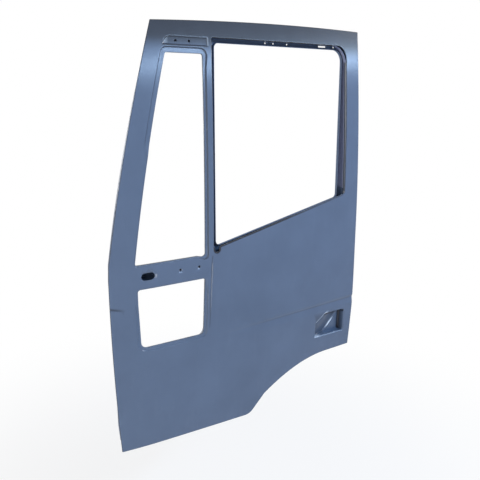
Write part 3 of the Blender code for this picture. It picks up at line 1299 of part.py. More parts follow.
# Belt reinforcements either side of the glass slot
belt_start = BELT_FRONT_U + 2 * RELIEF_RADIUS
belt_end = REAR_U - REAR_FRAME_FOOT - 3 * BELT_REAR_RADIUS
path = [(u, belt_w(u)) for u in [belt_start] + between(belt_start, belt_end, 5) + [belt_end]]
top = 2 * BELT_HEM_RADIUS + GAP
foot = -BELT_OUTER_HEIGHT
profile = [(foot, SKIN + GAP, SKIN_DATUM), (foot + BELT_FLANGE, SKIN + GAP, SKIN_DATUM),
           (foot + BELT_FLANGE + BELT_HAT_RUN, BELT_HAT_DEPTH, SKIN_DATUM),
           (-BELT_CAP - BELT_HAT_RUN, BELT_HAT_DEPTH, SKIN_DATUM),
           (-BELT_CAP, top, SKIN_DATUM), (-BELT_HEM_RADIUS, top, SKIN_DATUM)]
strip("belt_reinforcement_outer", path, profile, CHANNEL)

path = [(u, inner_belt_w(u)) for u in [belt_start] + between(belt_start, belt_end, 3) + [belt_end]]
seat = -GAP - CHANNEL
foot = -BELT_INNER_HEIGHT
profile = [(foot, seat, INNER_DATUM), (foot + BELT_FLANGE, seat, INNER_DATUM),
           (foot + BELT_FLANGE + BELT_HAT_RUN, -BELT_HAT_DEPTH, INNER_DATUM),
           (-GAP, -BELT_HAT_DEPTH, INNER_DATUM)]
strip("belt_reinforcement_inner", path, profile, CHANNEL)

# Stiffener behind the main skin, on four pads of mastic
stiffener_end = REAR_WALL_U - GAP
path = [(u, STIFFENER_W) for u in [STIFFENER_FRONT_U] + between(STIFFENER_FRONT_U, stiffener_end, 5)
        + [stiffener_end]]
seat = SKIN + MASTIC + 2 * GAP
crest = seat + STIFFENER_HEIGHT
shoulder = STIFFENER_CROWN_HALF + STIFFENER_RUN
profile = [(-STIFFENER_HALF, seat, SKIN_DATUM), (-shoulder, seat, SKIN_DATUM),
           (-STIFFENER_CROWN_HALF, crest, SKIN_DATUM), (STIFFENER_CROWN_HALF, crest, SKIN_DATUM),
           (shoulder, seat, SKIN_DATUM), (STIFFENER_HALF, seat, SKIN_DATUM)]
strip("skin_stiffener", path, profile, STIFFENER)

flange_mid = (STIFFENER_HALF + shoulder) / 2
for row, side in (("lower", -1), ("upper", 1)):
    for place_name, share in (("front", MASTIC_FRONT_SHARE), ("rear", MASTIC_REAR_SHARE)):
        pad_u = STIFFENER_FRONT_U + (stiffener_end - STIFFENER_FRONT_U) * share
        path = [(pad_u - MASTIC_LENGTH / 2, STIFFENER_W), (pad_u + MASTIC_LENGTH / 2, STIFFENER_W)]
        profile = [(side * flange_mid - MASTIC_WIDTH / 2, SKIN + GAP, SKIN_DATUM),
                   (side * flange_mid + MASTIC_WIDTH / 2, SKIN + GAP, SKIN_DATUM)]
        strip("mastic_pad_" + row + "_" + place_name, path, profile, MASTIC, MASTIC_GREY)

# Strip that ties the skin to the inner panel inside the front pillar
path = [(pillar_u(w) + PILLAR_STRIP_INSET, w) for w in between(PILLAR_FOOT_W, ROOF_FRONT_W, 8)[:-1]]
profile = [(-PILLAR_STRIP_FLANGE, SKIN + GAP, SKIN_DATUM), (0.0, SKIN + GAP, SKIN_DATUM),
           (0.0, -GAP - CHANNEL, INNER_DATUM), (PILLAR_STRIP_FLANGE, -GAP - CHANNEL, INNER_DATUM)]
strip("pillar_reinforcement", path, profile, CHANNEL)


def weld_nut(name, u, w, depth):
    """Hexagon nut that lies flat on the plate behind the skin."""
    bm = bmesh.new()
    corner = NUT_FLATS / math.sqrt(3)
    rows = []
    for radius, reach in ((corner, 0.0), (corner, NUT_HEIGHT), (NUT_BORE, NUT_HEIGHT), (NUT_BORE, 0.0)):
        rows.append([bm.verts.new(place(a, b, crown(a, b) + depth + reach))
                     for a, b in circle(u, w, radius, 6)])
    for one, two in zip(rows, rows[1:] + rows[:1]):
        band(bm, one, two)
    return finish(name, bm, ZINC, smooth=False)


# Plates behind the skin where the mirror bracket bolts on, each with two weld nuts
for level_name, front_hole, rear_hole, w, half in (
        ("upper", MIRROR_UPPER_FRONT_U, MIRROR_UPPER_REAR_U, MIRROR_UPPER_W,
         MIRROR_PLATE_UPPER_HALF),
        ("lower", MIRROR_LOWER_FRONT_U, MIRROR_LOWER_REAR_U, MIRROR_LOWER_W,
         MIRROR_PLATE_LOWER_HALF)):
    path = [(u, w) for u in (front_hole - MIRROR_PLATE_REACH, (front_hole + rear_hole) / 2,
                         rear_hole + MIRROR_PLATE_REACH)]
    profile = [(-half, SKIN + GAP, SKIN_DATUM), (half, SKIN + GAP, SKIN_DATUM)]
    plate = strip("mirror_reinforcement_" + level_name, path, profile, MIRROR_PLATE)
    cuts = [(place(u, w, crown(u, w)), (0.0, 1.0, 0.0), 0.030, MIRROR_HOLE, MIRROR_HOLE, True)
            for u in (front_hole, rear_hole)]
    drill(plate, cuts)
    for end, u in (("front", front_hole), ("rear", rear_hole)):
        weld_nut("mirror_nut_" + level_name + "_" + end, u, w, SKIN + GAP + MIRROR_PLATE + GAP)
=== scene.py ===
import math

import bmesh
import bpy
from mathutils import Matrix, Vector


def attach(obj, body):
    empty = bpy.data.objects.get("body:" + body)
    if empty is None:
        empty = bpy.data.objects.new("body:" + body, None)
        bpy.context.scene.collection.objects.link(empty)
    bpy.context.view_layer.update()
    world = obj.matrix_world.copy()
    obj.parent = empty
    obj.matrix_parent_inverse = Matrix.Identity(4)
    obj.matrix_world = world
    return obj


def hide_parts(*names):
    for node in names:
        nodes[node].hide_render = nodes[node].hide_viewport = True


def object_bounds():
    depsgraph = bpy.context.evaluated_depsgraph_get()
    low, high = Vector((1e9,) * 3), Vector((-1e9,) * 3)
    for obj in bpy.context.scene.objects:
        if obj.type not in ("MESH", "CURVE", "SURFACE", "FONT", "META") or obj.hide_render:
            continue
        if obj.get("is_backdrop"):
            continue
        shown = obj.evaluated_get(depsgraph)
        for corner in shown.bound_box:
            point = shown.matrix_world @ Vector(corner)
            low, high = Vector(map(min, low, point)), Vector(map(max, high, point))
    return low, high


for leftover in ("Cube", "Light", "Camera"):
    if leftover in bpy.data.objects:
        bpy.data.objects.remove(bpy.data.objects[leftover], do_unlink=True)
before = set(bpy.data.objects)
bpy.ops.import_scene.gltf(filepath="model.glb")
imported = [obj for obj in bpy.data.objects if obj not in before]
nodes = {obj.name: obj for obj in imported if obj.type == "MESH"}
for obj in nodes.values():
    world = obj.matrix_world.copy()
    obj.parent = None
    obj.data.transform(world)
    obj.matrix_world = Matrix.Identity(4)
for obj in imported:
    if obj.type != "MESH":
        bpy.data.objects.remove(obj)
cad_low, cad_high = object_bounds()


# Outer skin: one pressing of 0.8 mm steel sheet, crowned in height and length, drawn for the two
# fixed windows, the mirror bracket and the handle, and hemmed round the inner pressing. It was
# dipped in a thin grey-blue primer. Plan sizes: u rearwards, w up from the sill, depth inboard.
SKIN = 0.0008
GAP = 0.0003
ORIGIN_U = 0.069563
ORIGIN_DEPTH = 0.041
ORIGIN_W = 0.150
WALL_BACK = 0.016
ROOF_FRONT = (0.2275, 1.512)
ROOF_REAR = (1.152, 1.526)
REAR_U = 1.168
HEEL = (1.158, 0.178)
ARCH_TOP = (1.040, 0.177)
ARCH_FOOT = (0.690, 0.065)
BAR_FOOT = (0.4425, 0.740)
WINDOW_HEAD = 1.468
WINDOW_ROUND = 0.075
JAMB_WIDTH = 0.0755
BAR_WIDTH = 0.0345
QUARTER_SILL = 0.710
QUARTER_HEAD = 1.413
LOWER_FOOT = 0.4035
LOWER_HEAD = 0.6215
REBATE_DEPTH = 0.0055
REBATE_RETURN = 0.0105
RELIEF = (0.4562, 0.7240, 0.0095)
CREASE_START = 0.470
CREASE_RISE = 0.0038
CREASE_LEAN = 0.032
RECESS_FRONT, RECESS_REAR = 0.269, 0.4375
RECESS_FOOT, RECESS_HEAD = 1.438, 1.4655
RECESS_ROUND = 0.026
RECESS_DEPTH = 0.0030
GROOVE_FOOT, GROOVE_HEAD = 0.435, 0.704
GROOVE_LEAN = 0.059
GROOVE_DEPTH = 0.0024
HANDLE_FRONT, HANDLE_REAR = 0.955, 1.119
HANDLE_FOOT, HANDLE_HEAD = 0.255, 0.355
CHAMFER_U, CHAMFER_W = 1.008, 0.319
RIDGE_FOOT, RIDGE_HEAD = (1.024, 0.262), (1.090, 0.331)
DENTS = ((0.063, 0.5625, 0.022, 0.0045, -0.26, 0.0011), (0.056, 0.126, 0.006, 0.004, 0.5, 0.0010),
         (0.043, 0.655, 0.006, 0.003, 0.8, 0.0008), (0.452, 1.250, 0.005, 0.010, 0.0, 0.0004))


def place(u, w, depth):
    return Vector((u - ORIGIN_U, depth - ORIGIN_DEPTH, w - ORIGIN_W))


def curve(t, *knots):
    """Parabola through three knots (t, value)."""
    total = 0.0
    for i, (ti, vi) in enumerate(knots):
        term = vi
        for j, (tj, _) in enumerate(knots):
            if i != j:
                term *= (t - tj) / (ti - tj)
        total += term
    return total


def shin_u(w):
    return curve(w, (0.008, 0.0615), (0.280, 0.0435), (0.658, 0.0365))


def pillar_u(w):
    return curve(w, (0.716, 0.0395), (1.114, 0.1185), (1.512, 0.2275))


def roof_w(u):
    return curve(u, (0.2275, 1.512), (0.68975, 1.5283), (1.152, 1.526))


def rear_u(w):
    return REAR_U if w < 0.8 else curve(w, (0.800, REAR_U), (1.163, 1.163), (1.526, 1.152))


def belt_w(u):
    return 0.741 + 0.227 * (u - 0.492)


def bar_u(w):
    """Front edge of the main window: the rear face of the bar."""
    return BAR_FOOT[0] + 0.011 * (w - BAR_FOOT[1]) / (WINDOW_HEAD - BAR_FOOT[1])


def jamb_u(w):
    """Rear edge of the main window."""
    return rear_u(w) - JAMB_WIDTH + 0.0075 * (w - 0.8945) / 0.4985


def pillar_glass_u(w):
    """Front edge of the quarter window."""
    return pillar_u(w) + 0.093 - 0.013 * (w - QUARTER_SILL) / (QUARTER_HEAD - QUARTER_SILL)


def crease_w(u):
    return 0.404 + CREASE_LEAN * (u - REAR_U)


def groove_u(w):
    return 0.420 + GROOVE_LEAN * (w - GROOVE_FOOT)


def ease(t):
    t = min(1.0, max(0.0, t))
    return t * t * (3 - 2 * t)


def band(off, half):
    """1 in the middle of a soft band, 0 at its edges."""
    return ease(1 - abs(off) / half)


def recess_inset(u, w):
    """Distance inside the outline of the mirror bracket's recess, round at its front top."""
    inset = min(u - RECESS_FRONT, RECESS_REAR - u, w - RECESS_FOOT, RECESS_HEAD - w)
    ahead, above = RECESS_FRONT + RECESS_ROUND - u, w - RECESS_HEAD + RECESS_ROUND
    if ahead > 0 and above > 0:
        inset = min(inset, RECESS_ROUND - math.hypot(ahead, above))
    return inset


def skin_depth(u, w):
    """Crown of the skin with its feature line, the groove under the bar, the mirror recess and
    the small dents near its front edge and in the bar."""
    depth = 0.0433 * max(0.0, w - 0.750) ** 2 + 0.070 * max(0.0, 0.550 - w) ** 2
    depth += 0.020 * (u - 0.620) ** 2 + 0.250 * max(0.0, 0.220 - u) ** 2
    rise = w - crease_w(u)
    fade = min(1.0, max(0.0, (u - CREASE_START) / 0.250))
    reach = 0.012 if rise > 0 else 0.028
    depth += CREASE_RISE * fade * (max(0.0, 1 - abs(rise) / reach) ** 1.1)
    ends = min(ease((w - GROOVE_FOOT) / 0.060), ease((GROOVE_HEAD - w) / 0.008))
    depth += GROOVE_DEPTH * ends * band(u - groove_u(w), 0.0045)
    for mid_u, mid_w, long, high, lean, deep in DENTS:
        along = (u - mid_u) * math.cos(lean) + (w - mid_w) * math.sin(lean)
        aside = (w - mid_w) * math.cos(lean) - (u - mid_u) * math.sin(lean)
        depth += deep * ease(1 - math.hypot(along / long, aside / high))
    return depth + RECESS_DEPTH * ease(recess_inset(u, w) / 0.0030)


def unit(a, b):
    length = math.hypot(b[0] - a[0], b[1] - a[1])
    return (b[0] - a[0]) / length, (b[1] - a[1]) / length


def mitres(points):
    """Left-hand mitre at each point of a closed path."""
    found = []
    for i, here in enumerate(points):
        behind, ahead = unit(points[i - 1], here), unit(here, points[(i + 1) % len(points)])
        scale = 1 + behind[0] * ahead[0] + behind[1] * ahead[1]
        found.append((-(behind[1] + ahead[1]) / scale, (behind[0] + ahead[0]) / scale))
    return found


def corner_arc(before, corner, after, radius, steps):
    into, out = unit(before, corner), unit(corner, after)
    turn = math.atan2(into[0] * out[1] - into[1] * out[0], into[0] * out[0] + into[1] * out[1])
    room = min(math.dist(before, corner), math.dist(corner, after)) * 0.48
    tangent = min(radius * math.tan(abs(turn) / 2), room)
    radius = tangent / math.tan(abs(turn) / 2)
    side = math.copysign(1.0, turn)
    start = (corner[0] - into[0] * tangent, corner[1] - into[1] * tangent)
    centre = (start[0] - side * into[1] * radius, start[1] + side * into[0] * radius)
    arm = (start[0] - centre[0], start[1] - centre[1])
    return [(centre[0] + arm[0] * math.cos(a) - arm[1] * math.sin(a),
             centre[1] + arm[0] * math.sin(a) + arm[1] * math.cos(a))
            for a in (turn * k / steps for k in range(steps + 1))]


def bent(path, radius, steps=5):
    """Section of a fold with its corners rounded."""
    points = [path[0]]
    for i in range(1, len(path) - 1):
        points += corner_arc(path[i - 1], path[i], path[i + 1], radius, steps)
    return points + [path[-1]]


def spread(a, b, count):
    return [a + (b - a) * (k + 1) / (count + 1) for k in range(count)]


def rail(outline, side, section, k, shift=0.0):
    """Fold line k round an outline: (u, w, depth, datum), with each corner rounded afresh."""
    normals = mitres(outline)
    moved = []
    for point, normal in zip(outline, normals):
        s, depth, datum = section(point)[k]
        s = (s + shift) * side
        moved.append((point[0] + s * normal[0], point[1] + s * normal[1], depth, datum, s))
    line = []
    for i, (u, w, depth, datum, s) in enumerate(moved):
        spots = [(u, w)]
        if len(outline[i]) > 2:
            before, after = moved[i - 1][:2], moved[(i + 1) % len(moved)][:2]
            into, out = unit(before, (u, w)), unit((u, w), after)
            hand = math.copysign(1.0, into[0] * out[1] - into[1] * out[0])
            spots = corner_arc(before, (u, w), after, max(outline[i][2] - s * hand, 0.0012), 10)
        line += [(a, b, depth, datum) for a, b in spots]
    return line


def sliced(bm, faces, reach, spot, normal):
    edges = list(dict.fromkeys(e for f in faces for e in f.edges))
    verts = list(dict.fromkeys(v for f in faces for v in f.verts))
    bmesh.ops.bisect_plane(bm, geom=faces + edges + verts, dist=reach, plane_co=spot, plane_no=normal)


def cut(bm, spot, direction, keep=None):
    """Slices the sheet, or the faces that keep() picks, along a straight line in plan."""
    faces = bm.faces[:] if keep is None else [f for f in bm.faces if keep(f.calc_center_median())]
    sliced(bm, faces, 2e-5, (spot[0], 0, spot[1]), (-direction[1], 0, direction[0]))


def pierce(bm, middle, sides):
    """Cuts a hole with flat sides through an upright wall that faces forwards or rearwards."""
    spots = [middle + Vector((0.0, y, z)) for y, z in sides]
    walls = [Vector((0.0, b.z - a.z, a.y - b.y)) for a, b in zip(spots, spots[1:] + spots[:1])]

    def close(face):
        away = face.calc_center_median() - middle
        return abs(away.x) < 0.004 and abs(away.y) < 0.060 and abs(away.z) < 0.060

    for spot, normal in zip(spots, walls):
        sliced(bm, [f for f in bm.faces if close(f)], 1e-6, spot, normal)
    inside = [f for f in bm.faces if close(f)
              and all(n.dot(f.calc_center_median() - s) < 0 for s, n in zip(spots, walls))]
    bmesh.ops.delete(bm, geom=inside, context="FACES")


def pressed(name, folds, depths, slices, thickness, floor=None, holes=(), painted_light=None):
    """A pressed sheet. The face is filled between the outlines, each edge is folded out of it ring
    by ring, the lot is sliced finely and then pushed to its depth. Holes go through its walls.
    A fold is an outline, the side its metal lies on, its section, where its last ring lands instead, and the
    painted shade on each ring. The last argument gives each point its painted shade and painted highlight."""
    bm = bmesh.new()
    datum = bm.verts.layers.float.new("datum")
    rim = bm.verts.layers.float.new("rim")
    shade_layer = bm.verts.layers.float.new("shade_layer")
    wear_and_highlight = bm.verts.layers.float.new("painted_highlight")

    def drawn_ring(line):
        ring = []
        for u, w, depth, kind in line:
            vert = bm.verts.new((u, depth, w))
            vert[datum] = kind
            ring.append(vert)
        return ring, [bm.edges.new((ring[i - 1], ring[i])) for i in range(len(ring))]

    rings = []
    for fold in folds:
        rings.append(drawn_ring(rail(*fold[:3], 0)) + fold)
    bmesh.ops.triangle_fill(bm, use_beauty=True, use_dissolve=False, normal=(0, -1, 0),
                            edges=[e for r in rings for e in r[1]])
    for ring, edges, outline, side, section, last, darkness in rings:
        count = len(section(outline[0]))
        for k in range(1, count):
            line = rail(outline, side, section, k)
            if last and k == count - 1:
                line = rail(last[0], side, section, k, last[1])
            after, edges = drawn_ring(line)
            for i, vert in enumerate(after):
                # Painted shade on each ring of the fold.
                vert[rim] = darkness(k)
                bm.faces.new((ring[i - 1], ring[i], vert, after[i - 1]))
            ring = after
        if floor is outline:
            bmesh.ops.triangle_fill(bm, use_beauty=True, use_dissolve=False, normal=(0, -1, 0), edges=edges)
    for spot, direction, keep in slices:
        cut(bm, spot, direction, keep)
    for vert in bm.verts:
        u, depth, w = vert.co
        # Painted shade and painted highlight for each point.
        if painted_light:
            vert[shade_layer], vert[wear_and_highlight] = painted_light(u, w)
        vert.co = place(u, w, depth + depths(u, w, vert[datum]))
    bmesh.ops.remove_doubles(bm, verts=bm.verts, dist=1e-6)
    for middle, sides in holes:
        pierce(bm, middle, sides)
    bmesh.ops.recalc_face_normals(bm, faces=bm.faces)
    flat = max(bm.faces, key=lambda f: f.calc_area())
    if flat.normal.y > 0:
        bmesh.ops.reverse_faces(bm, faces=bm.faces)
    mesh = bpy.data.meshes.new(name)
    bm.to_mesh(mesh)
    bm.free()
    mesh.shade_smooth()
    mesh.set_sharp_from_angle(angle=math.radians(34))
    sheet = bpy.data.objects.new(name, mesh)
    bpy.context.collection.objects.link(sheet)
    wall = sheet.modifiers.new("sheet metal", "SOLIDIFY")
    wall.thickness = thickness
    wall.offset = -1.0
    wall.use_even_offset = True
    return sheet


def lattice(low_u, low_w, high_u, high_w, pitch, margin=0.0):
    """Slices both ways over a rectangle of the sheet."""
    def near(c):
        return low_u - margin < c.x < high_u + margin and low_w - margin < c.z < high_w + margin
    keep = near if margin else None
    across = [((u, 0.0), (0.0, 1.0), keep) for u in spread(low_u, high_u, round((high_u - low_u) / pitch))]
    up = [((0.0, w), (1.0, 0.0), keep) for w in spread(low_w, high_w, round((high_w - low_w) / pitch))]
    return across + up


def tagged(points, datum):
    return [(s, depth, datum) for s, depth in points]


def door_outline():
    points = [(0.0615, 0.008, 0.003)]
    points += [(u, 0.008 - 0.018 * (u - 0.0615) / 0.558) for u in spread(0.0615, 0.6195, 6)]
    points += [(0.6195, -0.010, 0.050)]
    points += [(u, curve(u, ARCH_TOP, (0.865, 0.1514), ARCH_FOOT))
               for u in [ARCH_FOOT[0]] + spread(ARCH_FOOT[0], ARCH_TOP[0], 24) + [ARCH_TOP[0]]]
    points += [HEEL + (0.003,)]
    points += [(HEEL[0] + (REAR_U - HEEL[0]) * (w - HEEL[1]) / (0.376 - HEEL[1]), w)
               for w in spread(HEEL[1], 0.376, 4)]
    points += [(REAR_U, crease_w(REAR_U) + step)
               for step in (-0.028, -0.020, -0.012, -0.005, 0, 0.004, 0.008, 0.012)]
    points += [(rear_u(w), w) for w in spread(0.430, ROOF_REAR[1], 26)]
    points += [ROOF_REAR + (0.003,)]
    points += [(u, roof_w(u)) for u in spread(ROOF_REAR[0], ROOF_FRONT[0], 22)]
    points += [ROOF_FRONT + (0.003,)]
    points += [(pillar_u(w), w) for w in spread(ROOF_FRONT[1], 0.716, 22)]
    points += [(0.0395, 0.716), (0.0365, 0.658)]
    points += [(shin_u(w), w) for w in (0.605, 0.580, 0.550, 0.520, 0.495, 0.450, 0.410, 0.3685, 0.3185,
                                        0.260, 0.205, 0.180, 0.150, 0.120, 0.095, 0.050)]
    return points


def main_window():
    corner_w = belt_w(REAR_U - JAMB_WIDTH)
    corner_u = jamb_u(corner_w)
    head_u = jamb_u(WINDOW_HEAD - WINDOW_ROUND)
    start = RELIEF[0] + RELIEF[2]
    points = [(u, belt_w(u)) for u in spread(start, corner_u, 16)[:-1] + [corner_u - 0.020]]
    points += [(corner_u, corner_w, 0.010)]
    points += [(jamb_u(w), w) for w in spread(corner_w, WINDOW_HEAD - WINDOW_ROUND, 14)]
    points += [(head_u, WINDOW_HEAD, WINDOW_ROUND)]
    points += [(u, WINDOW_HEAD) for u in spread(head_u - WINDOW_ROUND, 0.4535, 12)]
    points += [(0.4535, WINDOW_HEAD, 0.006)]
    points += [(bar_u(w), w) for w in spread(WINDOW_HEAD, BAR_FOOT[1], 16)]
    points += [BAR_FOOT]
    for k in range(11):
        angle = math.radians(150 + 20 * k)
        points += [(RELIEF[0] + RELIEF[2] * math.cos(angle), RELIEF[1] + RELIEF[2] * math.sin(angle))]
    return points + [(start, belt_w(start))]


def quarter_window():
    sill, head = QUARTER_SILL, QUARTER_HEAD
    dip = bar_u(sill) - BAR_WIDTH - 0.018
    points = [(pillar_glass_u(sill), sill, 0.007)]
    points += [(u, sill) for u in spread(pillar_glass_u(sill), dip, 4)] + [(dip - 0.016, sill)]
    points += [(bar_u(sill) - BAR_WIDTH, sill - 0.008, 0.016)]
    points += [(bar_u(w) - BAR_WIDTH, w) for w in spread(sill, head, 14)]
    points += [(bar_u(head) - BAR_WIDTH, head, 0.007), (pillar_glass_u(head), head, 0.007)]
    return points + [(pillar_glass_u(w), w) for w in spread(head, sill, 18)]


def lower_window():
    foot, head = LOWER_FOOT, LOWER_HEAD
    points = [(0.146, foot, 0.022)] + [(u, foot) for u in spread(0.146, 0.396, 3)]
    points += [(0.396, foot, 0.015)] + [(0.396 + 0.009 * t, foot + 0.218 * t) for t in (0.25, 0.5, 0.75)]
    points += [(0.405, head, 0.009)] + [(u, head) for u in spread(0.405, 0.138, 3)]
    points += [(0.138, head, 0.009)]
    return points + [(0.138 + 0.008 * t, head - 0.218 * t) for t in (0.25, 0.5, 0.75)]


def handle_outline():
    return [(HANDLE_FRONT, HANDLE_FOOT, 0.005), (HANDLE_REAR, HANDLE_FOOT, 0.005),
            (HANDLE_REAR, HANDLE_HEAD, 0.018), (CHAMFER_U, HANDLE_HEAD, 0.005),
            (HANDLE_FRONT, CHAMFER_W, 0.005)]


def ring_of(u, w, radius, steps=20):
    return [(u + radius * math.cos(2 * math.pi * k / steps), w + radius * math.sin(2 * math.pi * k / steps))
            for k in range(steps)]


def oval(u, w, length, height):
    radius = height / 2
    return [(u + side * (length / 2 - radius) + radius * math.cos(math.radians(start + 18 * k)),
             w + radius * math.sin(math.radians(start + 18 * k)))
            for side, start in ((1, -90), (-1, 90)) for k in range(11)]


def hem_section(point):
    radius = SKIN + 0.0008
    fold = bent([(-0.0045, 0.0), (0.0, 0.0), (0.0, 2 * radius), (-0.0115, 2 * radius)], radius)
    return tagged([(-0.018, 0.0)] + fold, 0.0)


def window_section(point):
    """Return flange; a rolled hem along the belt; a short flange in the relief notch."""
    u, w = point[:2]
    if w < belt_w(u) + 0.0005 and 0.465 < u < 1.083:
        fold = [(-0.0048, 0.0)] + corner_arc((-0.0048, 0.0), (0.0, 0.0), (0.0, 0.0036), 0.0018, 4)
        fold += corner_arc((0.0, 0.0), (0.0, 0.0036), (-0.012, 0.0036), 0.0018, 4) + [(-0.012, 0.0036)]
    elif w < 0.739 and u < 0.470:
        fold = bent([(-0.0048, 0.0), (0.0, 0.0), (0.0, 0.003)], 0.0018, 9)
    else:
        fold = bent([(-0.0048, 0.0), (0.0, 0.0), (0.0, 0.014)], 0.003, 9)
    return tagged([(-0.0075, 0.0)] + fold, 0.0)


def rebate(width):
    """Shallow seat for bonded glass, then the return flange at the opening."""
    if width < 0.010:
        step = [(-width + 0.0011, 0.0014), (0.0, 0.0017)]
    else:
        step = [(-width + 0.0039, REBATE_DEPTH), (0.0, REBATE_DEPTH)]
    path = [(-width - 0.003, 0.0), (-width, 0.0)] + step + [(0.0, REBATE_RETURN)]
    ends = corner_arc(path[0], path[1], path[2], 0.002, 3) + corner_arc(path[1], path[2], path[3], 0.002, 3)
    return tagged([path[0]] + ends + corner_arc(path[2], path[3], path[4], 0.0018, 4) + [path[4]], 0.0)


def quarter_section(point):
    u, w = point[:2]
    if w >= QUARTER_HEAD:
        return rebate(0.020)
    if u >= bar_u(w) - BAR_WIDTH - 1e-6:
        return rebate(0.012 if w > QUARTER_SILL else 0.014)
    return rebate(0.020 if w > 1.114 else 0.005)


def lower_section(point):
    return rebate(0.014 if point[1] < LOWER_HEAD else 0.005)


def handle_side(u, w):
    """Distance above the diagonal ridge in the handle recess."""
    run = unit(RIDGE_FOOT, RIDGE_HEAD)
    return (w - RIDGE_FOOT[1]) * run[0] - (u - RIDGE_FOOT[0]) * run[1]


def handle_depth(u, w):
    """Floor of the handle recess: a facet that falls to a diagonal ridge, and a flat behind it."""
    aside = handle_side(u, w)
    return 0.030 - 0.018 * min(1.0, max(0.0, aside / 0.060)) - 0.005 * band(aside, 0.007)


def handle_section(point):
    u, w = point[:2]
    floor = handle_depth(u, w)
    path = [(-0.0065, 0.0), (-0.0035, 0.0), (-0.0015, 0.0022), (0.0, 0.0035), (0.0040, floor - 0.001)]
    return tagged([path[0]] + corner_arc(path[0], path[1], path[2], 0.002, 2)
                  + corner_arc(path[2], path[3], path[4], 0.003, 3)
                  + corner_arc(path[3], path[4], (0.0075, floor), 0.003, 2)[:-1], 0.0) + [(0.0070, 0.0, 1.0)]


def bare(point):
    return [(0.0, 0.0, 0.0)]


def dark_from(edge, seat=0.0):
    """Painted shade on a fold's rings: full from its edge on, and some on the step of a glass seat."""
    return lambda k: 1.0 if k >= edge else seat if 2 < k < 7 else 0.0


NO_EDGE = dark_from(99)
DOOR, MAIN, QUARTER, LOWER = door_outline(), main_window(), quarter_window(), lower_window()
HANDLE = handle_outline()
OVAL = oval(0.1765, 0.6670, 0.050, 0.026)
skin_folds = [(DOOR, -1, hem_section, None, dark_from(3)),
              (MAIN, 1, window_section, None, dark_from(3)),
              (QUARTER, 1, quarter_section, None, dark_from(11, 0.7)),
              (LOWER, 1, lower_section, None, dark_from(12)),
              (HANDLE, 1, handle_section, None, NO_EDGE), (OVAL, 1, bare, None, NO_EDGE)]
for hole in ((0.317, 1.45175), (0.368, 1.45175), (0.302, 0.671), (0.379, 0.671)):
    skin_folds.append((ring_of(*hole, 0.0045), 1, bare, None, NO_EDGE))

skin_slices = lattice(0.030, -0.012, 1.170, 1.532, 0.024)
skin_slices += lattice(0.262, 1.431, 0.445, 1.472, 0.0028, 0.004)
skin_slices += lattice(0.036, 0.550, 0.092, 0.576, 0.0022, 0.001)
skin_slices += lattice(0.037, 0.632, 0.054, 0.664, 0.0025, 0.001)
for mid_u, mid_w, long, high, lean, deep in DENTS:
    skin_slices += lattice(mid_u - long, mid_w - high - 0.25 * long, mid_u + long,
                           mid_w + high + 0.25 * long, min(long, high) / 2.5, 0.001)
skin_slices += [((REAR_U, crease_w(REAR_U) + step), (1.0, CREASE_LEAN), lambda c: c.x > CREASE_START)
                for step in (-0.028, -0.024, -0.018, -0.012, -0.006, -0.002,
                             0, 0.001, 0.003, 0.006, 0.009, 0.012)]
skin_slices += [((groove_u(GROOVE_FOOT) + step, GROOVE_FOOT), (GROOVE_LEAN, 1.0),
                 lambda c: 0.400 < c.x < 0.455 and 0.425 < c.z < 0.712)
                for step in (-0.0045, -0.0028, -0.0012, 0, 0.0012, 0.0028, 0.0045)]
skin_slices += lattice(HANDLE_FRONT, HANDLE_FOOT, HANDLE_REAR, HANDLE_HEAD, 0.006, 0.002)
ridge_run = unit(RIDGE_FOOT, RIDGE_HEAD)
skin_slices += [((RIDGE_FOOT[0] - step * ridge_run[1], RIDGE_FOOT[1] + step * ridge_run[0]), ridge_run,
                 lambda c: 0.958 < c.x < 1.116 and 0.258 < c.z < 0.352)
                for step in (-0.007, -0.0045, -0.0025, -0.001, 0, 0.001, 0.0025, 0.0045, 0.007)]


def skin_depths(u, w, datum):
    return skin_depth(u, w) + datum * handle_depth(u, w)


def in_handle(u, w):
    return 0.956 < u < 1.118 and 0.257 < w < 0.353


def painted_shade(u, w):
    """Painted shade in groove, feature line, belt foot and the mirror and handle recesses; a dark streak by
    a dent.
    """
    marks = [0.0]
    # Painted shade in the groove under the bar, and along the feature line, stronger towards the rear.
    if GROOVE_FOOT < w < GROOVE_HEAD:
        marks.append(0.62 * band(u - groove_u(w) - 0.0006, 0.0024))
    marks.append(0.30 * ease((u - 0.560) / 0.300) * band(w - crease_w(u) - 0.0015, 0.0045))
    # A dark streak along the long dent in the front edge, fading rearwards.
    along, aside = (u - 0.040) / 0.050, (w - 0.5685 + 0.26 * (u - 0.042)) / 0.0070
    if -0.2 < along < 1:
        marks.append(0.75 * (1 - max(along, 0.0) ** 2) * band(aside, 1.0))
    # Painted shade of the glass slot at the foot of the belt, which tapers rearwards, with the relief notch
    # and the rear corner.
    under = belt_w(u) - w
    if RELIEF[0] < u < 1.082 and -0.002 < under < 0.0065:
        marks.append((1.0 - 0.45 * ease((u - 0.70) / 0.36)) * ease((0.0072 - under) / 0.0022))
    marks.append(ease((0.0175 - math.hypot(u - RELIEF[0], w - RELIEF[1])) / 0.0030))
    marks.append(ease((0.0115 - math.hypot(u - 1.079, w - 0.883)) / 0.0050))
    # Painted shade round the mirror recess, strong at its round front end and along its foot.
    rounded = u < RECESS_FRONT + RECESS_ROUND
    marks.append((0.75 if rounded else 0.15) * band(recess_inset(u, w) - 0.0015, 0.0028))
    if RECESS_FRONT - 0.004 < u < RECESS_REAR:
        marks.append(0.85 * band(w - RECESS_FOOT + 0.0005, 0.0034))
    # Painted shade on the floor of the handle recess: the facet above the ridge, the rear wall and the head.
    if in_handle(u, w):
        marks.append(0.34 * ease(handle_side(u, w) / 0.008))
        marks.append(0.95 * ease((u - 1.101) / 0.006))
        marks.append(0.90 * ease((w - 0.341) / 0.005) * ease((u - 1.000) / 0.010))
    return max(marks)


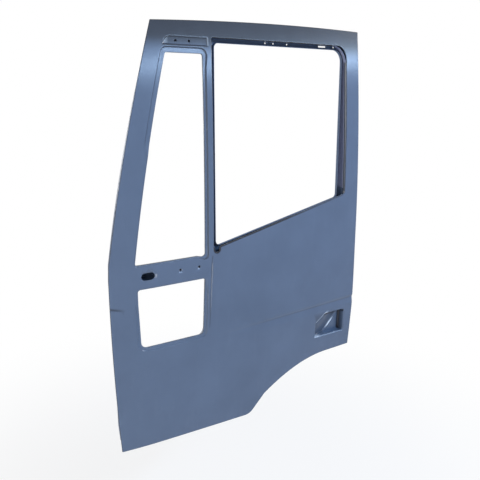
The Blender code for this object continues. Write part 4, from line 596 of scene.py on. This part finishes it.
def painted_highlight(u, w):
    """Painted highlights: the proud edges of the mirror and handle recesses."""
    # Mirror recess: its round front end and its rear edge.
    ahead = RECESS_FRONT + RECESS_ROUND - u
    marks = [0.22 * ease(ahead / 0.020) * ease((recess_inset(u, w) - 0.0035) / 0.002)]
    if RECESS_FOOT + 0.002 < w < RECESS_HEAD:
        marks.append(0.40 * band(u - RECESS_REAR - 0.0008, 0.0032))
    # Handle recess: the middle of the ridge, the slanting front edge and the foot's front end.
    if in_handle(u, w):
        off = abs(handle_side(u, w))
        marks.append(ease(1.3 - off / 0.0050) * ease(1.2 - abs(w - 0.297) / 0.022))
    slant = (HANDLE_HEAD - CHAMFER_W) / (CHAMFER_U - HANDLE_FRONT)
    shoulder = CHAMFER_W + slant * (u - HANDLE_FRONT) - w
    if HANDLE_FRONT < u < 1.010 and -0.006 < shoulder < 0.004:
        marks.append(0.95 * ease(1.3 - abs(shoulder + 0.0012) / 0.0045))
    if 0.952 < u < 1.000 and 0.250 < w < 0.262:
        marks.append(0.60 * ease((1.000 - u) / 0.030) * band(w - 0.2560, 0.0040))
    return max(marks)


def skin_painted_light(u, w):
    """The painted shade and the painted highlight of a spot of the coat; a spot gets one or the other."""
    dark, bright = painted_shade(u, w), painted_highlight(u, w)
    return (0.0, bright) if bright > max(dark - 0.4, 0.05) else (dark, 0.0)


outer_panel = pressed("outer_skin", skin_folds, skin_depths, skin_slices, SKIN,
                      floor=HANDLE, painted_light=skin_painted_light)
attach(outer_panel, "root")
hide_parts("outer_panel")


def grown(tree, kind, **values):
    """A shader node with its sockets set by name."""
    node = tree.nodes.new("ShaderNode" + kind)
    for key, value in values.items():
        node.inputs[key.replace("_", " ")].default_value = value
    return node


def reckoned(tree, operation, first, second):
    """Arithmetic on two sockets or numbers."""
    node = tree.nodes.new("ShaderNodeMath")
    node.operation = operation
    for socket, value in zip(node.inputs, (first, second)):
        if isinstance(value, float):
            socket.default_value = value
        else:
            tree.links.new(value, socket)
    return node.outputs["Value"]


def mottle(tree, place, scale, detail, roughness):
    noise = grown(tree, "TexNoise", Scale=scale, Detail=detail, Roughness=roughness)
    tree.links.new(place, noise.inputs["Vector"])
    return noise.outputs["Fac"]


def between(tree, amount, low, high, to_low, to_high):
    """An amount brought from one range to another."""
    span = grown(tree, "MapRange", From_Min=low, From_Max=high, To_Min=to_low, To_Max=to_high)
    tree.links.new(amount, span.inputs["Value"])
    return span.outputs["Result"]


def two_tones(tree, amount, low, first, high, second):
    ramp = tree.nodes.new("ShaderNodeValToRGB")
    ramp.color_ramp.elements[0].position = low
    ramp.color_ramp.elements[0].color = first + (1.0,)
    ramp.color_ramp.elements[1].position = high
    ramp.color_ramp.elements[1].color = second + (1.0,)
    tree.links.new(amount, ramp.inputs["Fac"])
    return ramp.outputs["Color"]


def over_paint(tree, amount, under, colour):
    mix = grown(tree, "MixRGB", Color2=colour + (1.0,))
    tree.links.new(amount, mix.inputs["Fac"])
    tree.links.new(under, mix.inputs["Color1"])
    return mix.outputs["Color"]


def painted(tree, layer):
    node = tree.nodes.new("ShaderNodeAttribute")
    node.attribute_name = layer
    return node.outputs["Fac"]


def raised(tree, height, strength, distance, under=None):
    bump = grown(tree, "Bump", Strength=strength, Distance=distance)
    tree.links.new(height, bump.inputs["Height"])
    if under:
        tree.links.new(under, bump.inputs["Normal"])
    return bump.outputs["Normal"]


DUST = (0.30, 0.34, 0.42)
# Tone of the painted shade.
SHADE_TONE = (0.010, 0.012, 0.020)
# Tone of worn edges and of the painted highlights.
WEAR_AND_HIGHLIGHT_TONE = (0.80, 0.86, 0.92)
# Painted shade darkens the top of the frame between these heights.
TOP_SHADE_FOOT, TOP_SHADE_HEAD = 1.262, 1.318
ROLL_FOOT = 1.130
ROLL = 0.6


def primer(name, dark, light, rough, scale=1.0, top_shade=1.0):
    """Dipped and baked primer: satin, slightly cloudy in colour, with a fine orange peel, worn a little on
    folded edges. It carries painted shade on folded edges, in hollows and in slots, and painted highlights
    on proud edges. A last argument below 1 darkens the top of the frame as painted shade. Its normals lean
    more and more towards the roof."""
    made = bpy.data.materials.new(name)
    made.use_nodes = True
    tree = made.node_tree
    shader = tree.nodes["Principled BSDF"]
    link = tree.links.new
    place_on = tree.nodes.new("ShaderNodeTexCoord").outputs["Object"]
    upright = grown(tree, "Mapping", Scale=(1.0, 1.0, 0.22))
    link(place_on, upright.inputs["Vector"])
    cloud = mottle(tree, place_on, 4.5 * scale, 5.0, 0.55)
    smear = mottle(tree, upright.outputs["Vector"], 22.0 * scale, 6.0, 0.62)
    coat = two_tones(tree, cloud, 0.30, dark, 0.72, light)
    coat = over_paint(tree, between(tree, smear, 0.55, 0.95, 0.0, 0.07), coat, DUST)
    # Painted shade on folded edges and in hollows and slots.
    rim = painted(tree, "rim")
    shade = reckoned(tree, "MAXIMUM", reckoned(tree, "MULTIPLY", rim, 0.72), painted(tree, "shade_layer"))
    coat = over_paint(tree, shade, coat, SHADE_TONE)
    axes = tree.nodes.new("ShaderNodeSeparateXYZ")
    link(place_on, axes.inputs["Vector"])
    # Painted shade: darker towards the top of the frame.
    top = between(tree, axes.outputs["Z"], TOP_SHADE_FOOT, TOP_SHADE_HEAD, 1.0, top_shade)
    top.node.interpolation_type = "SMOOTHSTEP"
    top_shaded = tree.nodes.new("ShaderNodeVectorMath")
    top_shaded.operation = "SCALE"
    link(coat, top_shaded.inputs["Vector"])
    link(top, top_shaded.inputs["Scale"])
    # Wear on folded edges, and painted highlights on the proud edges of the recesses.
    chafe = between(tree, mottle(tree, place_on, 60.0, 7.0, 0.7), 0.60, 0.74, 0.0, 0.15)
    wear_and_highlight = reckoned(tree, "MAXIMUM", reckoned(tree, "MULTIPLY", rim, chafe), painted(tree, "painted_highlight"))
    link(over_paint(tree, wear_and_highlight, top_shaded.outputs["Vector"], WEAR_AND_HIGHLIGHT_TONE), shader.inputs["Base Color"])
    link(between(tree, smear, 0.25, 0.75, rough - 0.02, rough + 0.03), shader.inputs["Roughness"])
    over = reckoned(tree, "SUBTRACT", axes.outputs["Z"], ROLL_FOOT)
    over.node.use_clamp = True
    roll = raised(tree, reckoned(tree, "POWER", over, 2.0), 1.0, ROLL)
    roll.node.invert = True
    peel = mottle(tree, place_on, 520.0, 2.0, 0.5)
    link(raised(tree, peel, 0.05, 0.0006, roll), shader.inputs["Normal"])
    shader.inputs["Specular IOR Level"].default_value = 0.45
    return made


skin_primer = primer("skin_primer", (0.078, 0.112, 0.176), (0.096, 0.134, 0.206), 0.29, top_shade=0.26)
outer_panel.data.materials.append(skin_primer)


# Inner pressing: 1 mm steel, drawn deep below the belt for the winder and latch, with shut faces
# all round, a flange that lies in the skin's hem, funnels to the fixed windows and a lip round
# the main window. Openings behind the main skin let a fitter reach inside.
INNER = 0.0010
PAD_WALLS = ((0.095, 0.3185, 0.07056), (0.495, 0.605, 0.05295))
HINGE_DEPTH = 0.041
BELT_RAMP = 0.056


def inner_belt_w(u):
    return 0.734 + 0.220 * (u - 0.530)


def inner_depth(u, w):
    front = ease((0.3685 - w) / 0.050)
    main = ease((inner_belt_w(u) - BELT_RAMP - w) / 0.050) * ease((u - 0.480) / 0.050)
    return 0.060 + 0.024 * max(front, main)


def inner_depths(u, w, datum):
    return datum * inner_depth(u, w) + (1 - datum) * skin_depth(u, w)


def wall_outline():
    """The shut faces: the outer edge moved in, with flat upright pads for the hinges and strap."""
    moved = []
    outline = door_outline()
    for point, normal in zip(outline, mitres(outline)):
        u, w = point[0] + WALL_BACK * normal[0], point[1] + WALL_BACK * normal[1]
        for foot, head, pad_u in PAD_WALLS:
            if point[0] < 0.2 and foot - 1e-6 <= point[1] <= head + 1e-6:
                u, w = pad_u, point[1]
        moved.append((u, w) + tuple(max(r - WALL_BACK, 0.009) for r in point[2:]))
    return moved


def wall_section(point):
    low = SKIN + GAP
    top = [(-0.006, 0.0)] + corner_arc((-0.006, 0.0), (0.0, 0.0), (0.0, -0.020), 0.006, 5)
    foot = corner_arc((0.0, low + 0.010), (0.0, low), (0.012, low), 0.003, 4)
    return tagged(top, 1.0) + tagged(foot + [(WALL_BACK - SKIN - 0.0014, low)], 0.0)


def lip_section(point):
    return tagged(bent([(-0.006, 0.0), (0.0, 0.0), (0.0, -0.014)], 0.0035, 6), 1.0)


def funnel_section(point):
    lap = -(SKIN + GAP + INNER)
    top = [(-0.0335, 0.0)] + corner_arc((-0.0335, 0.0), (-0.0300, 0.0), (-0.0270, -0.005), 0.003, 4)
    foot = corner_arc((lap - 0.004, 0.0175), (lap, 0.0125), (lap, 0.0075), 0.002, 4)
    return tagged(top, 1.0) + tagged(foot + [(lap, 0.0075)], 0.0)


def access_section(point):
    return tagged(bent([(-0.004, 0.0), (0.0, 0.0), (0.0, -0.005)], 0.003, 4), 1.0)


def punched(point):
    return [(0.0, 0.0, 1.0)]


def box_outline(low_u, low_w, high_u, high_w, radius):
    return [(low_u, low_w, radius), (high_u, low_w, radius),
            (high_u, high_w, radius), (low_u, high_w, radius)]


def inner_window():
    front, rear, head = 0.477, 1.086, 1.4545
    points = [(front, inner_belt_w(front), 0.018)]
    points += [(u, inner_belt_w(u)) for u in spread(front, rear, 4)] + [(rear, inner_belt_w(rear), 0.018)]
    return points + [(rear, head, 0.047), (front, head, 0.018)]


inner_folds = [(wall_outline(), -1, wall_section, (DOOR, -WALL_BACK), NO_EDGE),
               (inner_window(), 1, lip_section, None, NO_EDGE),
               (QUARTER, 1, funnel_section, None, NO_EDGE), (LOWER, 1, funnel_section, None, NO_EDGE),
               (box_outline(0.575, 0.2699, 0.80004, 0.6099, 0.035), 1, access_section, None, dark_from(4)),
               (box_outline(0.86004, 0.3899, 1.060, 0.6099, 0.035), 1, access_section, None, dark_from(4)),
               (ring_of(0.275, 0.1885, 0.075, 40), 1, access_section, None, dark_from(4)),
               (box_outline(0.967, 1.46125, 1.005, 1.46675, 0.0020), 1, punched, None, NO_EDGE)]
for u in spread(0.0615, 0.6195, 3):
    inner_folds.append((ring_of(u, 0.050, 0.004, 14), 1, punched, None, NO_EDGE))
for w in (0.255, 0.355, 0.500, 0.655):
    inner_folds.append((ring_of(REAR_U - WALL_BACK - 0.030, w, 0.004, 14), 1, punched, None, NO_EDGE))
for u in (0.708, 0.745, 0.810, 1.047):
    inner_folds.append((ring_of(u, 1.464, 0.0028, 14), 1, punched, None, NO_EDGE))
inner_slices = lattice(0.045, 0.005, 1.155, 1.515, 0.026)
ramp_steps = (0.0, 0.006, 0.014, 0.036, 0.044, 0.050)
inner_slices += [((0.480, 0.3685 - step), (1.0, 0.0), None) for step in ramp_steps]
inner_slices += [((0.530, inner_belt_w(0.530) - BELT_RAMP - step), (1.0, 0.220), lambda c: c.x > 0.47)
                 for step in (0.0, 0.006, 0.014, 0.025, 0.036, 0.044, 0.050)]
inner_slices += [((0.480 + step, 0.4), (0.0, 1.0), lambda c: c.z < 0.70) for step in ramp_steps]


def bolt_hole(radius):
    return [(radius * math.cos(math.radians(30 * k)), radius * math.sin(math.radians(30 * k)))
            for k in range(12)]


def slot_hole(width, height):
    across, up = width / 2, height / 2
    return [(-across, -up), (across, -up), (across, up), (-across, up)]


wall_holes = [(place(PAD_WALLS[0][2], 0.26175, 0.052), slot_hole(0.012, 0.030)),
              (place(REAR_U - WALL_BACK, 0.500, 0.046), slot_hole(0.040, 0.026))]
for wall_u, middle, depth, reach, radius in ((PAD_WALLS[0][2], 0.150, HINGE_DEPTH, 0.032, 0.0055),
                                             (PAD_WALLS[1][2], 0.550, HINGE_DEPTH, 0.032, 0.0055),
                                             (REAR_U - WALL_BACK, 0.500, 0.046, 0.030, 0.0035)):
    wall_holes += [(place(wall_u, middle + side * reach, depth), bolt_hole(radius)) for side in (-1, 1)]
inner_panel = pressed("inner_pressing", inner_folds, inner_depths, inner_slices, INNER, holes=wall_holes)
inner_primer = primer("inner_primer", (0.070, 0.104, 0.176), (0.092, 0.132, 0.218), 0.42)
inner_panel.data.materials.append(inner_primer)
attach(inner_panel, "root")
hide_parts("inner_panel")


# Channels, plates and brackets: folded steel strips welded inside the door and dipped with it, so
# they carry the same primer, a little darker. Sheared edges are broken by 0.25 mm.
def coated(coat, kinds, broken=True):
    """Coats the loaded nodes whose names hold one of the kinds, and breaks their sharp edges."""
    for name, node in nodes.items():
        if not any(kind in name for kind in kinds):
            continue
        node.data.materials.clear()
        node.data.materials.append(coat)
        if broken:
            weld = node.modifiers.new("weld", "WELD")
            weld.merge_threshold = 0.00001
            edges = node.modifiers.new("broken edges", "BEVEL")
            edges.width = 0.00025
            edges.segments = 2
            edges.limit_method = "ANGLE"
            edges.angle_limit = math.radians(50)


frame_primer = primer("frame_primer", (0.058, 0.086, 0.148), (0.078, 0.112, 0.188), 0.42, 1.6)
coated(frame_primer, ("division_channel", "lower_channel", "channel_bracket", "hinge_reinforcement",
                      "check_strap", "latch_reinforcement", "pillar_reinforcement",
                      "mirror_reinforcement", "skin_stiffener"))


# Glass run: a roll-formed steel channel, 1.2 mm thick, along the header and down the rear jamb of the main
# window. The sliding glass runs in it. Its coat is painted lighter than the primer, as painted light in the
# shaded channel.
def plain(name, dark, light, rough, metal, scale):
    """Mottled finish with uneven gloss and a fine grain."""
    made = bpy.data.materials.new(name)
    made.use_nodes = True
    tree = made.node_tree
    shader = tree.nodes["Principled BSDF"]
    link = tree.links.new
    noise = mottle(tree, tree.nodes.new("ShaderNodeTexCoord").outputs["Object"], scale, 6.0, 0.6)
    link(two_tones(tree, noise, 0.32, dark, 0.68, light), shader.inputs["Base Color"])
    link(between(tree, noise, 0.3, 0.7, rough - 0.07, rough + 0.08), shader.inputs["Roughness"])
    link(raised(tree, noise, 0.12, 0.0004), shader.inputs["Normal"])
    shader.inputs["Metallic"].default_value = metal
    return made


lit_run_coat = plain("lit_run_coat", (0.120, 0.140, 0.230), (0.170, 0.190, 0.300), 0.40, 0.0, 140.0)
coated(lit_run_coat, ("window_run_channel",))

# Belt reinforcements and weld nuts: steel strips on both sides of the glass slot, and the four nuts behind
# the mirror bracket's holes. All are painted near-black as painted shade, so slot and holes show black.
slot_shade_black = plain("slot_shade_black", (0.006, 0.007, 0.011), (0.012, 0.013, 0.019), 0.45, 0.0, 140.0)
coated(slot_shade_black, ("belt_reinforcement", "mirror_nut"))

# Mastic pads: four soft dark grey strips that bond the skin to its stiffener and keep it from
# drumming.
mastic = plain("mastic", (0.022, 0.022, 0.023), (0.045, 0.044, 0.043), 0.72, 0.0, 260.0)
coated(mastic, ("mastic_pad",), broken=False)

# Tapping plates: zinc-plated steel, 8 mm thick, loose behind the hinge pads. The hinge bolts
# screw into them.
zinc = plain("zinc_plate", (0.30, 0.31, 0.30), (0.46, 0.46, 0.43), 0.34, 1.0, 90.0)
coated(zinc, ("tapping_plate",))


# The floor: a plain pale sheet 0.45 m under the hanging door. It takes the door's shadow and fades
# to white about two metres out, for the camera and for mirrors.
FLOOR_DROP = 0.45
bm = bmesh.new()
bmesh.ops.create_grid(bm, x_segments=1, y_segments=1, size=9.0)
bmesh.ops.translate(bm, verts=bm.verts, vec=(0.5, 0.0, cad_low[2] - FLOOR_DROP))
floor_mesh = bpy.data.meshes.new("floor")
bm.to_mesh(floor_mesh)
bm.free()
floor = bpy.data.objects.new("floor", floor_mesh)
bpy.context.collection.objects.link(floor)


def to_white(tree, lit, fade=None):
    """Show white, not the lit shader, to the camera and to mirror and glass rays."""
    path = tree.nodes.new("ShaderNodeLightPath").outputs
    rays = reckoned(tree, "MAXIMUM", path["Is Camera Ray"], path["Is Glossy Ray"])
    rays = reckoned(tree, "MAXIMUM", rays, path["Is Transmission Ray"])
    if fade:
        rays = reckoned(tree, "MULTIPLY", rays, fade)
    white = grown(tree, "Emission", Color=(1.0, 1.0, 1.0, 1.0), Strength=1.0)
    blend = tree.nodes.new("ShaderNodeMixShader")
    tree.links.new(rays, blend.inputs["Fac"])
    tree.links.new(lit, blend.inputs[1])
    tree.links.new(white.outputs["Emission"], blend.inputs[2])
    return blend.outputs["Shader"]


pale = bpy.data.materials.new("pale_floor")
pale.use_nodes = True
tree = pale.node_tree
sheet = tree.nodes["Principled BSDF"]
sheet.inputs["Base Color"].default_value = (0.80, 0.80, 0.81, 1.0)
sheet.inputs["Roughness"].default_value = 0.9
away = tree.nodes.new("ShaderNodeVectorMath")
away.operation = "DISTANCE"
away.inputs[1].default_value = (0.5, 0.2, cad_low[2] - FLOOR_DROP)
tree.links.new(tree.nodes.new("ShaderNodeTexCoord").outputs["Object"], away.inputs[0])
fade = between(tree, away.outputs["Value"], 0.5, 2.2, 0.78, 1.0)
fade.node.interpolation_type = "SMOOTHSTEP"
tree.links.new(to_white(tree, sheet.outputs["BSDF"], fade), tree.nodes["Material Output"].inputs["Surface"])
floor_mesh.materials.append(pale)
floor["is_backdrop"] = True

# Soft studio light: an even room, darker overhead, with five broad lamps. The room is white to the
# camera and to mirrors.
ROOM_LIGHT = 0.6
world = bpy.data.worlds.new("studio")
bpy.context.scene.world = world
world.use_nodes = True
tree = world.node_tree
room = tree.nodes["Background"]
room.inputs["Strength"].default_value = ROOM_LIGHT
height = tree.nodes.new("ShaderNodeSeparateXYZ")
tree.links.new(tree.nodes.new("ShaderNodeTexCoord").outputs["Generated"], height.inputs["Vector"])
tree.links.new(two_tones(tree, height.outputs["Z"], 0.0, (0.62, 0.68, 0.78), 0.55, (0.30, 0.33, 0.40)),
               room.inputs["Color"])
tree.links.new(to_white(tree, room.outputs["Background"]), tree.nodes["World Output"].inputs["Surface"])


def lamp(name, spot, target, size, power, colour=(1.0, 1.0, 1.0)):
    light = bpy.data.lights.new(name, "AREA")
    light.shape = "RECTANGLE"
    light.size, light.size_y = size
    light.energy = power
    light.color = colour
    made = bpy.data.objects.new(name, light)
    bpy.context.collection.objects.link(made)
    made.location = spot
    made.rotation_euler = (Vector(target) - Vector(spot)).to_track_quat("-Z", "Y").to_euler()


lamp("high_strip", (2.1, -2.30, 2.28), (0.62, 0.0, 1.25), (2.8, 0.28), 84.0, (0.50, 0.71, 1.0))
lamp("key", (4.0, -0.40, 2.6), (0.6, 0.0, 0.6), (0.9, 0.9), 48.0)
lamp("low_front", (-1.3, -2.3, -0.25), (0.8, 0.0, 1.4), (0.9, 0.5), 20.0)
lamp("front_fill", (-2.4, -2.6, 1.0), (0.5, 0.0, 0.6), (2.0, 2.0), 37.0)
lamp("behind", (-0.6, 3.4, 1.6), (0.6, 0.0, 0.6), (2.0, 2.0), 60.0)

# Camera at the photograph's place: forward of the door, 1.8 m out from it and half a metre above
# its middle, looking back and down.
camera_data = bpy.data.cameras.new("camera")
camera_data.sensor_width = 36.0
camera_data.lens = 43.876
camera = bpy.data.objects.new("camera", camera_data)
bpy.context.collection.objects.link(camera)
camera.location = place(-0.63835, 1.26524, -1.77919)
camera.rotation_euler = (math.radians(90 - 13.599), 0.0, math.radians(-33.876))
bpy.context.scene.camera = camera
bpy.context.scene.view_settings.view_transform = "Standard"

low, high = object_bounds()
